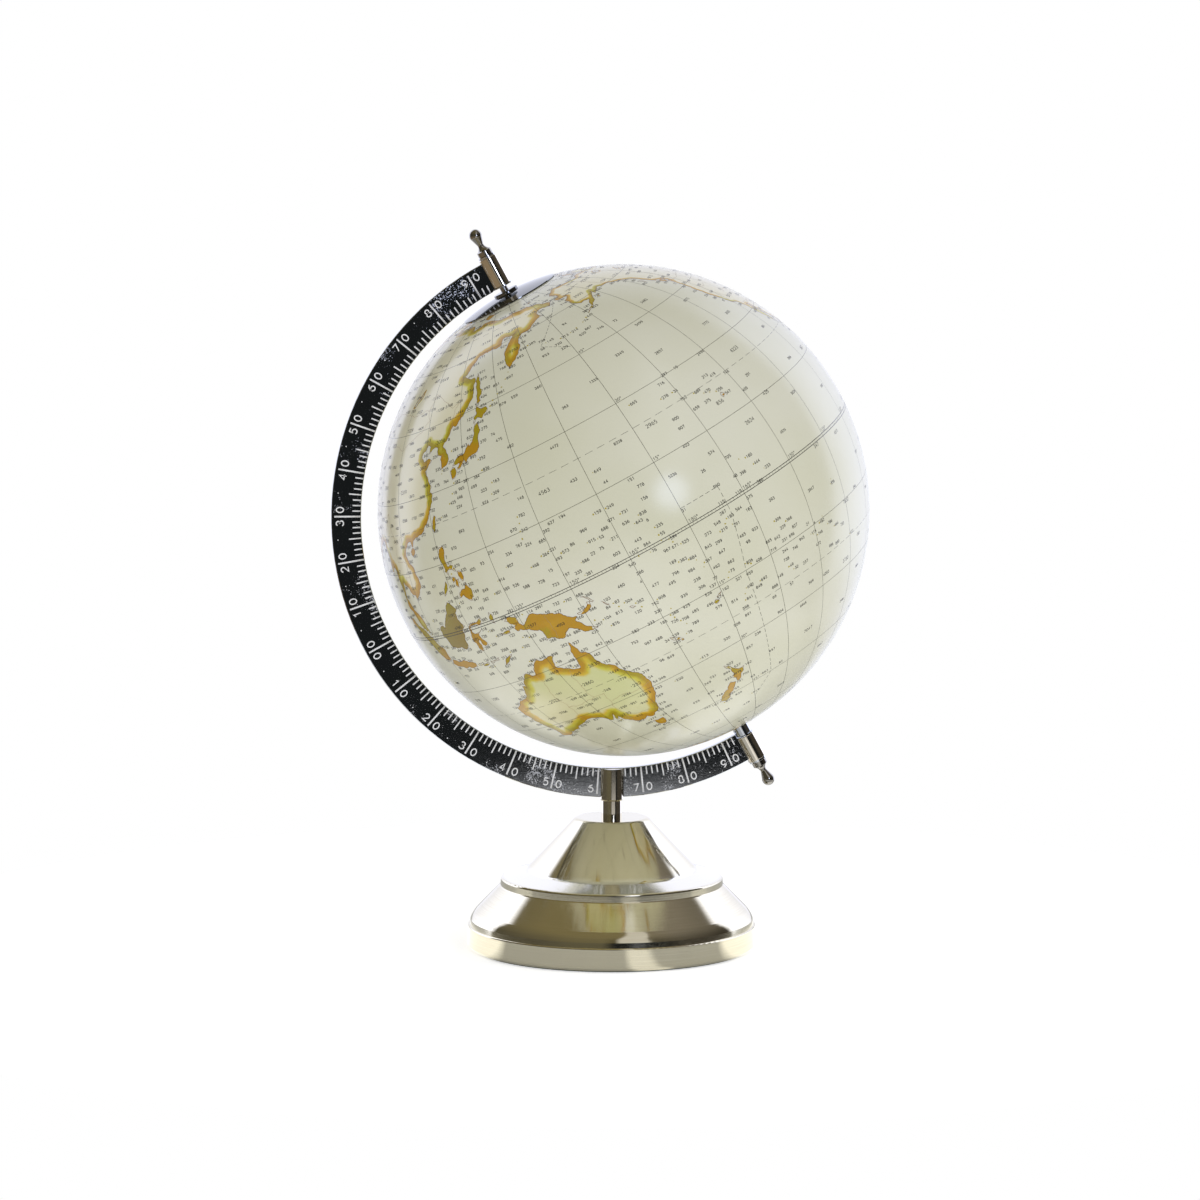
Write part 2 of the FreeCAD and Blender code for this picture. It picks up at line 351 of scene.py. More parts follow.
@dataclass(frozen=True)
class PrintedPaper(Finish):
    """The ball's printed gores: sea, land with a coloured coast band, and a clear varnish."""

    name: str = "printed_gores"
    varnish: Varnish = Varnish()
    sea: tuple[Tone, Tone] = (tone(204, 202, 176), tone(212, 210, 190))
    inland: tuple[Tone, Tone] = (tone(212, 206, 164), tone(196, 197, 140))
    deep_band: tuple[Tone, Tone] = (tone(175, 131, 4), tone(157, 139, 6))
    pale_band: tuple[Tone, Tone] = (tone(200, 164, 34), tone(192, 184, 56))
    dry_land: Tone = tone(222, 215, 186)
    flat_land: tuple[Tone, Tone] = (tone(142, 130, 34), tone(134, 114, 34))
    flat_reach: tuple[float, float] = (12.0, 14.0)
    halo: Tone = tone(184, 190, 206)
    halo_reach: float = 1.3

    def inputs(self, n: Nodes) -> dict[str, object]:
        """Colours the sheet by each point's distance from the nearest coast.

        Args:
            n: the material's nodes.

        Returns:
            The shader's inputs.
        """
        # Shore and reach are in millimetres; depth and wavy are shares of the reach.
        place = n.object_place()
        shore = n.add("Attribute", attribute_name="shore").outputs["Fac"]
        reach = n.add("Attribute", attribute_name="reach").outputs["Fac"]
        wide = n.noise(place, 14.0, 3.0)
        patchy = n.ramp(n.noise(place, 75.0, 3.0), 0.46, 0.6, smooth=True)
        sea = n.mix(n.ramp(wide, 0.35, 0.65), *self.sea)
        halo = n.ramp(shore, -self.halo_reach, 0.0, smooth=True)
        sea = n.mix(n.times(halo, 0.16), sea, self.halo)
        depth = n.math("DIVIDE", shore, reach)
        wavy = n.math("ADD", depth, n.ramp(n.noise(place, 120.0, 3.0), 0.3, 0.7, -0.18, 0.18))
        deep = n.mix(patchy, *self.deep_band)
        pale = n.mix(patchy, *self.pale_band)
        ground = n.mix(n.ramp(wide, 0.4, 0.6), *self.inland)
        ground = n.mix(n.ramp(reach, 4.3, 4.7, 0.85, 0.0), ground, self.dry_land)
        fading = n.times(n.ramp(wavy, 0.2, 0.6, smooth=True), n.ramp(reach, 6.0, 8.5, 1.0, 0.2))
        land = n.mix(fading, deep, pale)
        land = n.mix(n.ramp(wavy, 0.54, 0.9, smooth=True), land, ground)
        flat = n.mix(n.ramp(wide, 0.46, 0.54), *self.flat_land)
        land = n.mix(n.ramp(reach, *self.flat_reach), land, flat)
        colour = n.mix(n.ramp(shore, -0.03, 0.03), sea, land)
        rough = n.ramp(n.noise(place, 2600.0, 2.0), 0.3, 0.7, 0.42, 0.54)
        return {"Base Color": colour, "Roughness": rough} | self.varnish.inputs()


@dataclass(frozen=True)
class Ink(Finish):
    """A printed ink under the same varnish, a little uneven as print is."""

    name: str
    colour: Tone
    worn: Tone
    varnish: Varnish = Varnish()

    def inputs(self, n: Nodes) -> dict[str, object]:
        """Breaks the ink's colour up by fine noise.

        Args:
            n: the material's nodes.

        Returns:
            The shader's inputs.
        """
        speckle = n.group(self.effects.grain, Place=n.object_place(), Scale=1500.0,
                          Dark=self.colour, Light=self.worn)
        return ({"Base Color": speckle.outputs["Color"], "Roughness": 0.5}
                | self.varnish.inputs())


@dataclass(frozen=True)
class Polish(Finish):
    """A polished metal with patches of fine wear and scratches."""

    name: str
    colour: Tone
    worn: Tone
    roughness: tuple[float, float]
    wear_scale: float = 60.0
    scratch: float = 0.04

    def inputs(self, n: Nodes) -> dict[str, object]:
        """Varies colour and roughness by the wear, and bumps the scratches.

        Args:
            n: the material's nodes.

        Returns:
            The shader's inputs.
        """
        place = n.object_place()
        wear = n.group(self.effects.wear, Place=place, Scale=self.wear_scale,
                       Low=self.roughness[0], High=self.roughness[1])
        streak = n.add("Mapping", {0: place, 3: (400.0, 400.0, 9000.0)}).outputs[0]
        return {"Base Color": n.mix(wear.outputs["Mask"], self.colour, self.worn),
                "Roughness": wear.outputs["Value"], "Metallic": 1.0,
                "Normal": n.bump(n.noise(streak, 1.0, 3.0), self.scratch, SCRATCH_DEPTH)}


@dataclass(frozen=True)
class SpunNickel(Finish):
    """Nickel-plated spun steel: a mirror cone above a satin skirt and rim, with a painted highlight on
    the shoulder.
    """

    name: str = "spun_nickel"
    colour: Tone = tone(221, 214, 191)
    dull: Tone = tone(211, 203, 177)
    # painted highlight: a near-white metal colour on the shoulder, in place of the bright reflection it
    # shows
    shoulder: Tone = tone(240, 237, 228)
    cone: float = 0.1
    satin: float = 0.09
    cone_edge: tuple[float, float] = (0.0323, 0.0343)
    shoulder_edge: tuple[float, float] = (0.0292, 0.0298)

    def inputs(self, n: Nodes) -> dict[str, object]:
        """Sets the polish by height, lays the lathe lines on the satin part, and lightens the shoulder
        below the cone as a painted highlight.

        Args:
            n: the material's nodes.

        Returns:
            The shader's inputs.
        """
        place = n.object_place()
        height = n.add("SeparateXYZ", {0: place}).outputs[2]
        satin = n.ramp(height, *self.cone_edge, 1.0, 0.0)
        lines = n.group(self.effects.lathe, Place=place, Pitch=2600.0).outputs["Mask"]
        wear = n.group(self.effects.wear, Place=place, Scale=45.0, Low=0.0, High=0.05)
        ridges = n.times(lines, satin)
        metal = n.mix(ridges, self.colour, self.dull)
        # Painted highlight: the band between the lip and the cone takes the near-white shoulder colour.
        painted_highlight = n.times(satin, n.ramp(height, *self.shoulder_edge))
        level = n.math("MULTIPLY_ADD", satin, self.satin - self.cone, self.cone)
        tangent = n.add("Tangent", direction_type="RADIAL", axis="Z")
        return {"Base Color": n.mix(painted_highlight, metal, self.shoulder),
                "Roughness": n.math("ADD", level, wear.outputs["Value"]), "Metallic": 1.0,
                "Anisotropic": 0.8, "Anisotropic Rotation": 0.25,
                "Tangent": tangent.outputs[0], "Normal": n.bump(ridges, 0.12, SCRATCH_DEPTH)}


@dataclass(frozen=True)
class Grainy(Finish):
    """A dull speckled surface: cast iron, fibre board, felt, plastic or scribed metal."""

    name: str
    dark: Tone
    light: Tone
    scale: float
    roughness: float
    bump: float
    sheen: float = 0.0
    metallic: float = 0.0
    depth: float = 0.0002

    def inputs(self, n: Nodes) -> dict[str, object]:
        """Colours and bumps the surface by the shared speckle.

        Args:
            n: the material's nodes.

        Returns:
            The shader's inputs.
        """
        speckle = n.group(self.effects.grain, Place=n.object_place(), Scale=self.scale,
                          Dark=self.dark, Light=self.light)
        return {"Base Color": speckle.outputs["Color"], "Roughness": self.roughness,
                "Sheen Weight": self.sheen, "Metallic": self.metallic,
                "Normal": n.bump(speckle.outputs["Height"], self.bump, self.depth)}


class Workshop:
    """Every finish of the globe."""

    def __init__(self) -> None:
        """Makes the shared effects and lists the finishes."""
        Finish.effects = Effects()
        self.paper = PrintedPaper()
        self.line_ink = Ink("line_ink", tone(58, 55, 38), tone(88, 84, 62))
        self.coast_ink = Ink("coast_ink", tone(96, 62, 18), tone(130, 92, 36))
        self.border_ink = Ink("border_ink", tone(150, 120, 84), tone(176, 150, 112))
        self.figure_ink = Ink("figure_ink", tone(18, 16, 10), tone(44, 40, 30))
        self.gold_ink = Ink("gold_ink", tone(158, 140, 34), tone(180, 162, 62))
        self.chrome = Polish("bright_chrome", tone(204, 207, 211), tone(222, 222, 224),
                             (0.03, 0.36), 50.0)
        self.dark_chrome = Polish("dark_chrome", tone(112, 113, 114), tone(128, 128, 130),
                                  (0.05, 0.2), 60.0)
        self.nickel = Polish("polished_nickel", tone(222, 214, 198), tone(206, 198, 180),
                             (0.05, 0.14), 120.0)
        self.dark_nickel = Polish("dark_nickel", tone(158, 154, 146), tone(142, 139, 132),
                                  (0.05, 0.14), 120.0)
        self.steel = Polish("plain_steel", tone(150, 148, 144), tone(120, 117, 112),
                            (0.22, 0.4), 150.0, 0.15)
        self.foot = SpunNickel()
        self.scribed = Grainy("scribed_metal", tone(214, 214, 215), tone(254, 254, 255),
                              2200.0, 0.55, 0.4, metallic=0.1, depth=0.00005)
        self.plastic = Grainy("inner_plastic", tone(206, 202, 190), tone(218, 214, 204),
                              800.0, 0.5, 0.08)
        self.iron = Grainy("cast_iron", tone(44, 44, 46), tone(70, 70, 72), 700.0, 0.7, 0.6)
        self.board = Grainy("fibre_board", tone(96, 70, 44), tone(132, 102, 68), 1100.0, 0.8, 0.4)
        self.felt = Grainy("felt", tone(22, 40, 30), tone(42, 66, 50), 2400.0, 0.95, 0.8, 0.5)

    def dress(self, node: str, finish: Finish) -> None:
        """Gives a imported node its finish.

        Args:
            node: the node's name.
            finish: its finish.
        """
        mesh = frame["nodes"][node].data
        mesh.materials.clear()
        mesh.materials.append(finish.material())
        log.info("dressed %s in %s", node, finish.name)


# Coasts: each outline's name, how far its colour reaches inland in millimetres on the ball,
# and its "longitude latitude" pairs in degrees east and north, closed by a semicolon.
COASTS: str = """
old_world 4.0:190 66,187 64.4,182 65.4,178 64.6,179.4 62.5,175 61.8,170.4 60,166 60,163.5 58.6,163.3 56.1,
161.8 54.8,160 53.2,158.3 52.4,156.7 51,155.6 53.5,155.7 55.6,157 57.6,160 59.8,163.7 61.6,160.2 61,
156.5 61.5,155 59.3,151.5 59.3,148.8 59.5,143 59.3,140 57.6,137.5 55.7,135.3 54.7,138 53.9,141.3 53.2,
140.6 51,140.4 48.4,138.5 46.8,136.1 44.5,133 42.8,131.9 43.2,130.7 42.3,129.7 41,127.6 39.8,127.5 39.2,
128.5 38.4,129.4 37,129.5 35.9,129 35.2,127.6 34.7,126.4 34.4,126.6 35.6,126.3 36.7,126.8 37.3,125.1 37.8,
125.3 39.5,124.3 39.9,122.8 39.6,121.3 38.8,122 40.5,121 40.9,119.5 39.8,117.8 39.1,117.8 38.4,119.1 37.3,
120.7 37.8,122.5 37.2,121 36.6,119.4 35.2,120.4 34,121 32.6,121.9 31.5,121 30.5,122 29.8,121.6 28.3,
120.5 27,119.7 25.9,118.6 24.6,116.6 23,114.3 22.4,113.2 22,111 21.5,110.4 20.4,109.8 20.5,109.7 21.5,
108.3 21.6,106.7 20.4,105.8 19,106.6 17.7,108.3 16.1,109.2 13.6,109.1 11.8,107.6 10.6,106.6 9.9,105.2 8.7,
104.9 10.2,103.5 10.6,102.6 12,101 12.7,100.6 13.5,100 13,99.9 11.5,99.2 9.8,100.2 8.5,101 6.9,102.3 6.1,
103.4 4.5,103.5 2.7,104.2 1.4,103.4 1.4,101.4 2.9,100.4 5.2,99.9 6.6,98.4 8,98.6 10,98.6 12,97.9 14.2,
97.6 16.4,96.6 17,95.4 15.8,94.3 16,94.5 18.2,93.4 19.9,92.2 21.1,91.7 22.5,90.4 22.5,89 21.7,87 21.4,
86.7 20.2,85.1 19.5,82.3 16.7,80.6 15.7,80.1 14.8,80.3 13.2,79.8 11.6,79.8 10.3,79 9.3,78.2 8.8,77.5 8.1,
76.3 9.9,75 12.3,74.2 14.8,73.3 17,72.8 19.2,72.8 21,72.4 22.1,72.1 21.2,70.8 20.8,69 22.2,70.2 22.9,
68.2 23.7,67 24.8,66.3 25.4,61.6 25.2,58.2 25.6,57 26.9,54.7 26.6,52.6 27.5,50.9 29.1,50 30.1,48.9 30.2,
48 29.8,48.4 28.5,49.9 26.9,50.4 25.4,51.2 26.1,51.5 24.8,54 24.2,56.1 26.2,56.5 24.4,58.6 23.6,59.8 22.5,
58.5 20.4,57.6 18.9,55.1 17,52.2 15.7,49 14.2,45 12.8,43.5 12.7,42.8 15,42.3 17,40.8 19,39.1 21.3,37.9 24,
36.2 26.2,35 28.1,34.9 29.5,34.2 27.9,32.6 29.8,33.7 27.7,34.4 26,35.5 23.9,37.2 21,37.4 18.8,39.3 15.7,
41.4 14.2,43.2 11.9,43.5 11.3,45 10.5,48 11.2,51.2 11.8,50.7 9.3,49 6.4,47 4,44.8 1.7,42.5 -0.5,40.2 -2.7,
39.2 -4.7,38.9 -6.3,39.5 -7.6,40.5 -10.5,40.6 -14.8,37.8 -17.4,35 -19.6,35.5 -22.4,35.2 -24.2,32.8 -25.7,
32.6 -27.6,31.2 -29.5,29.9 -31.4,28 -33,25.7 -33.9,22.2 -34.1,20 -34.8,18.4 -34.2,18 -32.8,17.1 -30,
15.6 -27.8,14.9 -26.1,14.4 -22.8,13.2 -20.3,11.8 -18,12.3 -15.3,13.7 -12.4,13.3 -9.2,12.3 -6.1,11.6 -4.4,
9.6 -2.4,8.8 -0.7,9.5 1,9.8 3.2,8.8 4.5,6.6 4.4,5.4 5.4,4.3 6.3,1.3 6.1,-2 4.8,-4.6 5.2,-7.5 4.4,-9.4 5.8,
-11.4 6.9,-13.2 8.6,-13.8 9.9,-15 11,-16.8 12.5,-17.4 14.7,-16.4 16.4,-16.3 18.9,-17 21,-16 23.6,
-14.6 25.9,-13 27.8,-10.6 28.9,-9.6 30.2,-9.6 31.6,-8.5 33.2,-6.8 34.1,-5.9 35.8,-4.6 35.2,-2 35.1,0 36,
3 36.8,7 37,9.8 37.3,11 37,10.4 35.7,10.2 34,11.2 33.2,15.2 32.3,16.3 31.2,18.4 30.5,20.1 32.2,21.8 32.9,
23.2 32.2,25.2 31.5,29 30.9,31 31.5,32.3 31.2,34.2 31.3,35 32.8,35.8 34.6,35.9 36.5,34 36.4,32.5 36.1,
30.6 36.8,28.9 36.5,27.3 37.2,26.5 38.5,26.2 39.6,26.1 40.7,24 40.8,22.9 40.3,22.9 39.3,24 38,23 37.4,
23.1 36.5,21.6 37,21.3 38.2,19.7 40,19.5 41.9,17.4 43,15.1 44.4,13.7 45.2,12.3 45.4,12.5 44.2,13.7 43.4,
14.5 42.2,16.1 41.7,18.5 40.1,17 40.5,16.7 39.6,17.1 39,16 38,15.6 40,14.4 40.7,12.3 41.7,10.5 42.9,
10.1 44,8.9 44.4,7.4 43.7,5.8 43.1,3.6 43.4,3.1 42,0.9 41,-0.3 39.5,0.1 38.7,-0.8 37.6,-2.2 36.8,
-4.5 36.6,-5.6 36,-6.4 36.8,-8.9 37,-9.4 38.8,-8.8 41,-9.3 43,-8 43.7,-4.5 43.4,-1.8 43.4,-1.2 45,
-1.6 46.8,-4.6 48,-4.5 48.6,-1.8 48.7,-1.8 49.7,0.2 49.6,1.6 50.8,3.6 51.4,4.8 53,7 53.5,8.8 53.9,
8.2 55.5,8.1 57,10.6 57.7,10.2 56.2,9.7 55,11 54,14.3 53.9,18.6 54.7,21 55.3,21.4 57.3,24 57.2,24.2 58.5,
23.6 59.2,28 59.6,30 60,25 60.2,22.9 59.9,21.4 61.2,21.5 63,25.2 65.2,22.4 65.6,21.4 64.2,17.6 62,
17.2 60.7,18.8 59.7,16.6 57.8,16 56.2,14.3 55.5,12.9 55.5,12 57.5,10.9 59.2,9.4 58.8,7 58,5.5 58.9,5 61,
6.5 62.7,10.3 64.2,13 66.4,15 68.2,18.5 69.7,25.5 71,31 70.2,37 68.8,41 67.4,40.4 66.3,34.5 66.6,
32.6 67.1,34.4 65.4,37 63.9,40 64.6,42 66.3,44 66,44 68.4,48 67.6,53.5 68.7,60 69.5,68.2 68.4,66.8 70,
69 72.8,72.7 72.6,72 69.6,73.3 67,74.2 69,75.5 72.3,80.5 72.3,81 73.6,87 74.8,98 76.2,104.3 77.7,112 76.5,
113 75.4,107 73.2,113.3 73.7,123.4 73.2,127 73.4,129.8 71,137 71.5,140 72.5,150 71.6,159.7 70,170 69.9,
176.5 69.8,181 68.8,185 67.2;
new_world 2.0:-168.1 65.6,-163.5 66.4,-163.5 67.3,-166.4 68.4,-162 69.9,-156.6 71.3,-148 70.4,-141 69.7,
-135.5 69.3,-128 70.5,-122 69.8,-115 69.2,-113 67.9,-107.5 67.9,-98 67.8,-95.6 69.6,-94.2 71.8,-92 70.2,
-88 68.6,-85.6 69.5,-81.8 69.2,-81.5 67.4,-86.4 66.3,-88 64.5,-93.6 61.8,-94.7 58.9,-92.5 57,-87.8 56.4,
-82.3 55.1,-82.2 53,-80 51.3,-79 52,-79.3 54.6,-76.6 56.6,-78.4 59,-77.6 62.4,-73.5 62.2,-69.6 60.8,
-69 58.9,-66 58.8,-64.8 60.3,-61.8 57.4,-59 55,-55.8 52.6,-58.6 51.3,-60.5 50.2,-66.5 50.2,-70 47.2,
-66.4 49.1,-64.4 48.7,-65 47.2,-61.2 45.5,-63.7 44.5,-66 43.5,-67 45,-70 43.7,-70.8 42.4,-70 41.7,
-74 40.6,-74.9 39,-76 37,-75.6 35.2,-77.8 34,-81.2 31.8,-81.3 30,-80 27,-80.4 25.2,-81.8 26.1,-82.7 28,
-84 30,-88 30.3,-89.4 29.2,-94 29.6,-97.2 27.8,-97.4 25,-97.8 22.5,-96.2 19.2,-94.6 18.2,-92 18.7,
-90.5 20,-90 21.2,-87 21.5,-87.7 19.4,-88.4 17.8,-88.8 16,-86 15.9,-83.4 15,-83.7 12.5,-83.4 10.6,
-81.6 8.9,-79.6 9.5,-77.4 8.6,-75.5 10.7,-72.2 12.1,-71.6 10.6,-70.2 11.6,-68.2 10.6,-62 10.7,-60.6 9,
-58.2 7,-54 5.9,-51.6 4.4,-50 1.3,-48.6 -0.7,-44.3 -2.5,-41 -2.9,-38.5 -3.7,-35.3 -5.3,-34.8 -7.5,-37 -11,
-38.8 -13.2,-39.2 -17.6,-41 -22,-44.5 -23.1,-48.4 -26,-48.7 -28.4,-51.4 -31.6,-53.6 -34,-58.3 -34.2,
-57 -36.3,-58.2 -38.2,-62.2 -39,-62.4 -40.8,-65 -41.2,-63.8 -42.6,-65.4 -44.4,-67.5 -46.2,-65.8 -47.8,
-68.8 -50.4,-68.4 -52.3,-65.3 -54.7,-70 -55.3,-73.6 -53,-75.3 -50,-74.4 -46.6,-72.9 -43.6,-73.7 -41,
-73.3 -37.6,-71.6 -33,-71.4 -29,-70.4 -25,-70.2 -18.5,-76.2 -14,-79 -8.6,-81.2 -6,-80.3 -3.4,-80.8 -1.8,
-80 0.8,-77.3 4,-77.8 7.2,-79 8.8,-80.4 7.5,-83 8.3,-85.7 10.2,-87.6 13,-91.5 14,-94.3 16.2,-98.5 16.2,
-102 18,-105.5 20.4,-105.7 22.6,-109 25.6,-112.2 29,-113.1 31.2,-114.7 31.6,-112.7 28.2,-110.6 24.6,
-109.5 23.1,-112 25,-114.8 27.8,-116 30.4,-117.2 32.6,-120.6 34.5,-122 36.8,-123.8 39.3,-124.4 42.8,
-124.1 46.3,-124.5 48.4,-123 49.1,-127.4 51.2,-130 54.5,-133.4 57.2,-136.5 58.3,-140 59.8,-146 60.8,
-149 60,-151.8 59.2,-151.3 61,-154 59.3,-156.6 57.2,-161 55.3,-164.7 54.6,-160.4 56,-157.6 58.6,-162 58.8,
-164.8 61,-164.6 63,-161 64.4,-166.3 64.6;
antarctica 4.0:-180 -78.2,-158 -77.3,-145 -75.5,-125 -73.6,-102 -74.9,-100 -72.8,-74 -73.4,-67.5 -71.5,
-67 -68.6,-63.5 -65.5,-58 -63.5,-61 -66.4,-61.5 -70,-61 -74.2,-77 -77.4,-60 -81.5,-40 -80,-34 -77.6,
-18 -73,-5 -70.6,20 -70,33 -68.8,39 -70,47 -67.6,56 -66,68 -68,71 -70.4,78 -68.6,88 -66.7,105 -66.3,
122 -66.7,137 -66.2,150 -68.5,162 -70,170.5 -71.7,164 -75.6,165 -78.2,180 -78.2,180 -90,-180 -90;
australia 5.0:114.1 -21.8,115.6 -21.4,116.8 -20.6,119.2 -20,121.4 -19.2,122.2 -18,122.9 -16.5,123.6 -17.4,
124 -16.2,124.8 -15.3,126 -14.2,126.9 -13.8,128.2 -14.9,129.4 -15,129.9 -13.4,130.8 -12.5,131.3 -12.1,
132.6 -11.4,132.8 -12.1,135 -12.1,136.8 -12.1,136 -13.3,135.4 -14.8,137 -15.9,139 -16.9,140.8 -17.6,
141.4 -16,141.6 -13.8,141.9 -12.4,142.5 -10.7,143.1 -12.2,143.6 -14,144.6 -14.3,145.3 -15,145.5 -16.3,
146.1 -18,147.2 -19.3,148.6 -20.2,149.4 -21.9,150.8 -23.2,151.6 -24.1,153 -25.4,153.2 -27.2,153.6 -28.5,
153.1 -30.4,152.5 -32.2,151.3 -33.6,150.5 -35.3,150 -37.4,147.8 -38,146.4 -39,145.3 -38.4,144.8 -38,
143.6 -38.8,140.8 -38.1,139.7 -36.8,138.6 -35.7,138.5 -34.8,138.1 -34.2,137.7 -35.1,136.9 -35.2,
137.8 -33.6,137.8 -32.6,137 -33.6,136 -34.8,135.2 -34.5,134.2 -32.9,133 -32.1,131.2 -31.5,129 -31.7,
127 -32.3,124.2 -33,123.6 -33.9,120 -33.9,117.9 -35.1,115.1 -34.4,115.7 -33.2,115.7 -31.8,115 -30.2,
114.6 -28.7,113.5 -26.4,114.2 -26.2,113.5 -24.2,113.8 -22.5;
tasmania 3.0:144.7 -40.7,146.2 -41.1,148.2 -40.9,148.3 -42,147.8 -43.2,146.6 -43.6,145.3 -42.4;
new_guinea 9.0:130.9 -0.9,132.4 -0.4,134.1 -0.9,134.2 -2.6,135 -3.3,136.6 -2.2,137.9 -1.5,140.7 -2.6,
142.6 -3.1,144.6 -3.9,145.8 -5.3,147.8 -6.1,147 -6.8,148.3 -8.6,150.8 -10.3,149.5 -10.4,147.6 -10,
146.3 -8.6,144.6 -7.7,143.3 -8.4,142.9 -9.2,141 -9.1,139.6 -8.1,138 -8.4,138.5 -7.1,138 -5.5,135.8 -4.5,
133.7 -3.8,132.8 -4,132.1 -2.9,133.9 -2.3,132.2 -2.1;
borneo 20.0:109.5 2,111.2 2.4,111.5 1.5,113 3.2,115.3 5.4,116.8 7,118.4 5.7,119.2 5.1,118 4.2,117.8 3,
118.9 1,117.6 0.6,117.4 -0.8,116.4 -1.9,116.1 -3.8,114.6 -4.1,113.6 -3.3,111.8 -3.4,110.2 -2.9,109.9 -1.3,
109 0.3;
celebes 9.0:119.9 0.4,121 1.2,123.3 0.95,125.1 1.6,124.3 0.4,120.5 0.4,120.2 -0.8,120.9 -1.4,123.3 -0.9,
121.7 -1.9,122.4 -3.4,122.7 -4.6,121.6 -4.6,121 -2.9,120.4 -3,120.4 -5.5,119.6 -5.5,119.4 -3.4,118.9 -2.7,
119.6 -0.9;
sumatra 9.0:95.3 5.6,97.5 5.2,99.8 3,101.6 1.8,103.5 0.2,103.9 -1.2,106 -3,105.8 -5.8,104.5 -5.8,
102.2 -3.9,100.4 -0.9,98.8 1.7,96.9 3.5;
java 9.0:105.2 -6.8,106.2 -5.9,108.6 -6.7,110.9 -6.4,112.7 -7.2,114.4 -7.7,114.4 -8.7,111 -8.3,108 -7.8,
106.4 -7.4;
timor 9.0:123.5 -10.3,124.6 -9.1,127.2 -8.4,125.4 -9.6;
flores 9.0:119.8 -8.4,122.9 -8.1,122.7 -8.7,120 -8.9;
sumbawa 9.0:116.8 -8.5,119 -8.3,119 -8.8,116.8 -9;
halmahera 9.0:127.4 0.8,128 2.1,128.7 1.2,128.2 -0.6,127.7 0;
seram 9.0:128 -3.2,130.8 -3,130.6 -3.8,128.4 -3.5;
luzon 9.0:119.9 16.3,120.4 17.6,120.7 18.5,122.2 18.5,122.1 17,121.5 15.8,121.8 14.1,123.6 14,124.1 12.7,
122.6 13.4,120.7 13.8,120.5 14.8;
mindanao 9.0:122 7,122.5 8.1,124.7 8.6,125.5 9.7,126.4 8.2,126.2 6.3,125.4 6.9,125.4 5.7,124 6.6,
123.4 7.6;
samar 9.0:124.3 12.5,125.3 12.4,125.7 11.1,125 10.2,124.5 10.9;
panay 9.0:121.9 10.5,122 11.8,123.1 11.4,122.7 10.8;
negros 9.0:122.4 9.8,123.1 10.9,123.9 11,123.2 9.2;
mindoro 9.0:120.4 13.4,121.4 13.3,121.3 12.3;
palawan 9.0:117.2 8.4,119.3 11.3,119.5 10.6,117.9 8.7;
taiwan 9.0:120.1 23,121.5 25.3,122 24.9,121.3 22.9,120.8 21.9;
hainan 9.0:108.7 19.2,110.2 20.1,111 19.6,109.6 18.2;
honshu 9.0:130.9 34.2,132.6 35.4,135.4 35.7,136.7 36.9,137.3 37.5,137.3 36.8,138.7 37.5,139.9 39.3,
140 40.6,140.4 41.2,141.4 41.4,141.7 40.2,142 39.4,141 38.3,140.9 36.9,140.8 35.7,139.9 34.9,138.8 34.7,
137 34.6,136.3 34.2,135.8 33.5,135.1 34.4,132.6 34.1;
hokkaido 9.0:140.1 41.5,140.3 43.2,141.4 43.4,141.7 45.4,143.6 44.2,145.3 44.3,145.5 43.2,143.3 42,
141.8 42.6,141 42.3;
kyushu 9.0:129.8 33.2,130.9 33.9,132 32.8,131.2 31.4,130.3 31.3,129.9 32.6;
shikoku 9.0:132.5 33.3,133.9 34.3,134.6 33.8,133 32.8;
sakhalin 9.0:142 46,142.1 49.5,141.8 52.4,142.7 54.3,143.3 52,143.4 49.6,144.6 48.9,142.9 47.4,143.4 46.4;
new_zealand_north 3.6:172.8 -34.5,174.4 -35.4,175.4 -36.8,176.4 -37.7,178.4 -37.7,177.8 -39.1,176.8 -39.6,
176.6 -40.5,175.3 -41.6,174.9 -41.2,175.2 -40.1,173.9 -39.4,174.8 -38.2,174.3 -36.5;
new_zealand_south 3.6:172.7 -40.6,174.2 -41.2,174.1 -41.9,172.9 -43.2,173 -43.8,171.3 -44.3,170.7 -45.9,
169 -46.7,166.6 -46,168.3 -44,171 -42.7,172.1 -41.1;
new_caledonia 9.0:164 -20.1,166.9 -22.2,166.4 -22.3,164.3 -20.9;
new_britain 9.0:148.3 -5.6,150 -5.5,151.5 -4.9,151.6 -4.2,152.3 -4.3,152 -5.4,150 -6.3,148.4 -5.9;
new_ireland 9.0:150.8 -2.6,152.4 -3.4,153.1 -4.6,152.7 -4.7,152 -3.5;
bougainville 9.0:154.6 -5.4,155.9 -6.8,155.3 -6.7;
guadalcanal 9.0:159.6 -9.3,160.9 -9.8,160.1 -9.9;
viti_levu 9.0:177.3 -17.8,178 -17.3,178.7 -17.9,177.9 -18.3;
vanua_levu 9.0:178.5 -16.9,179.9 -16.2,179.4 -16.9;
madagascar 5.0:43.4 -22.2,44.4 -20,44.1 -17.2,46.4 -15.7,49.3 -12,50.4 -15.7,49.3 -18.6,47.1 -25,
45.3 -25.6,43.7 -23.8;
ceylon 4.0:79.8 8,80.2 9.7,81.8 7.4,80.9 6.1,80 6.2;
britain 4.0:-5.6 50.1,-3.4 50.5,1.3 51.1,0.7 51.5,1.7 52.7,0.1 53.1,-1.5 55.2,-3.2 56,-2 57.6,-4.1 57.7,
-3.1 58.6,-5 58.6,-6 56.6,-4.9 54.9,-3.1 54.8,-3 53.4,-4.5 53.2,-4.2 52.3,-5.2 51.8,-3 51.4,-4.4 51;
ireland 4.0:-10 51.6,-6.4 52.2,-5.6 54.6,-7.3 55.3,-10 54.2,-9.3 53.1;
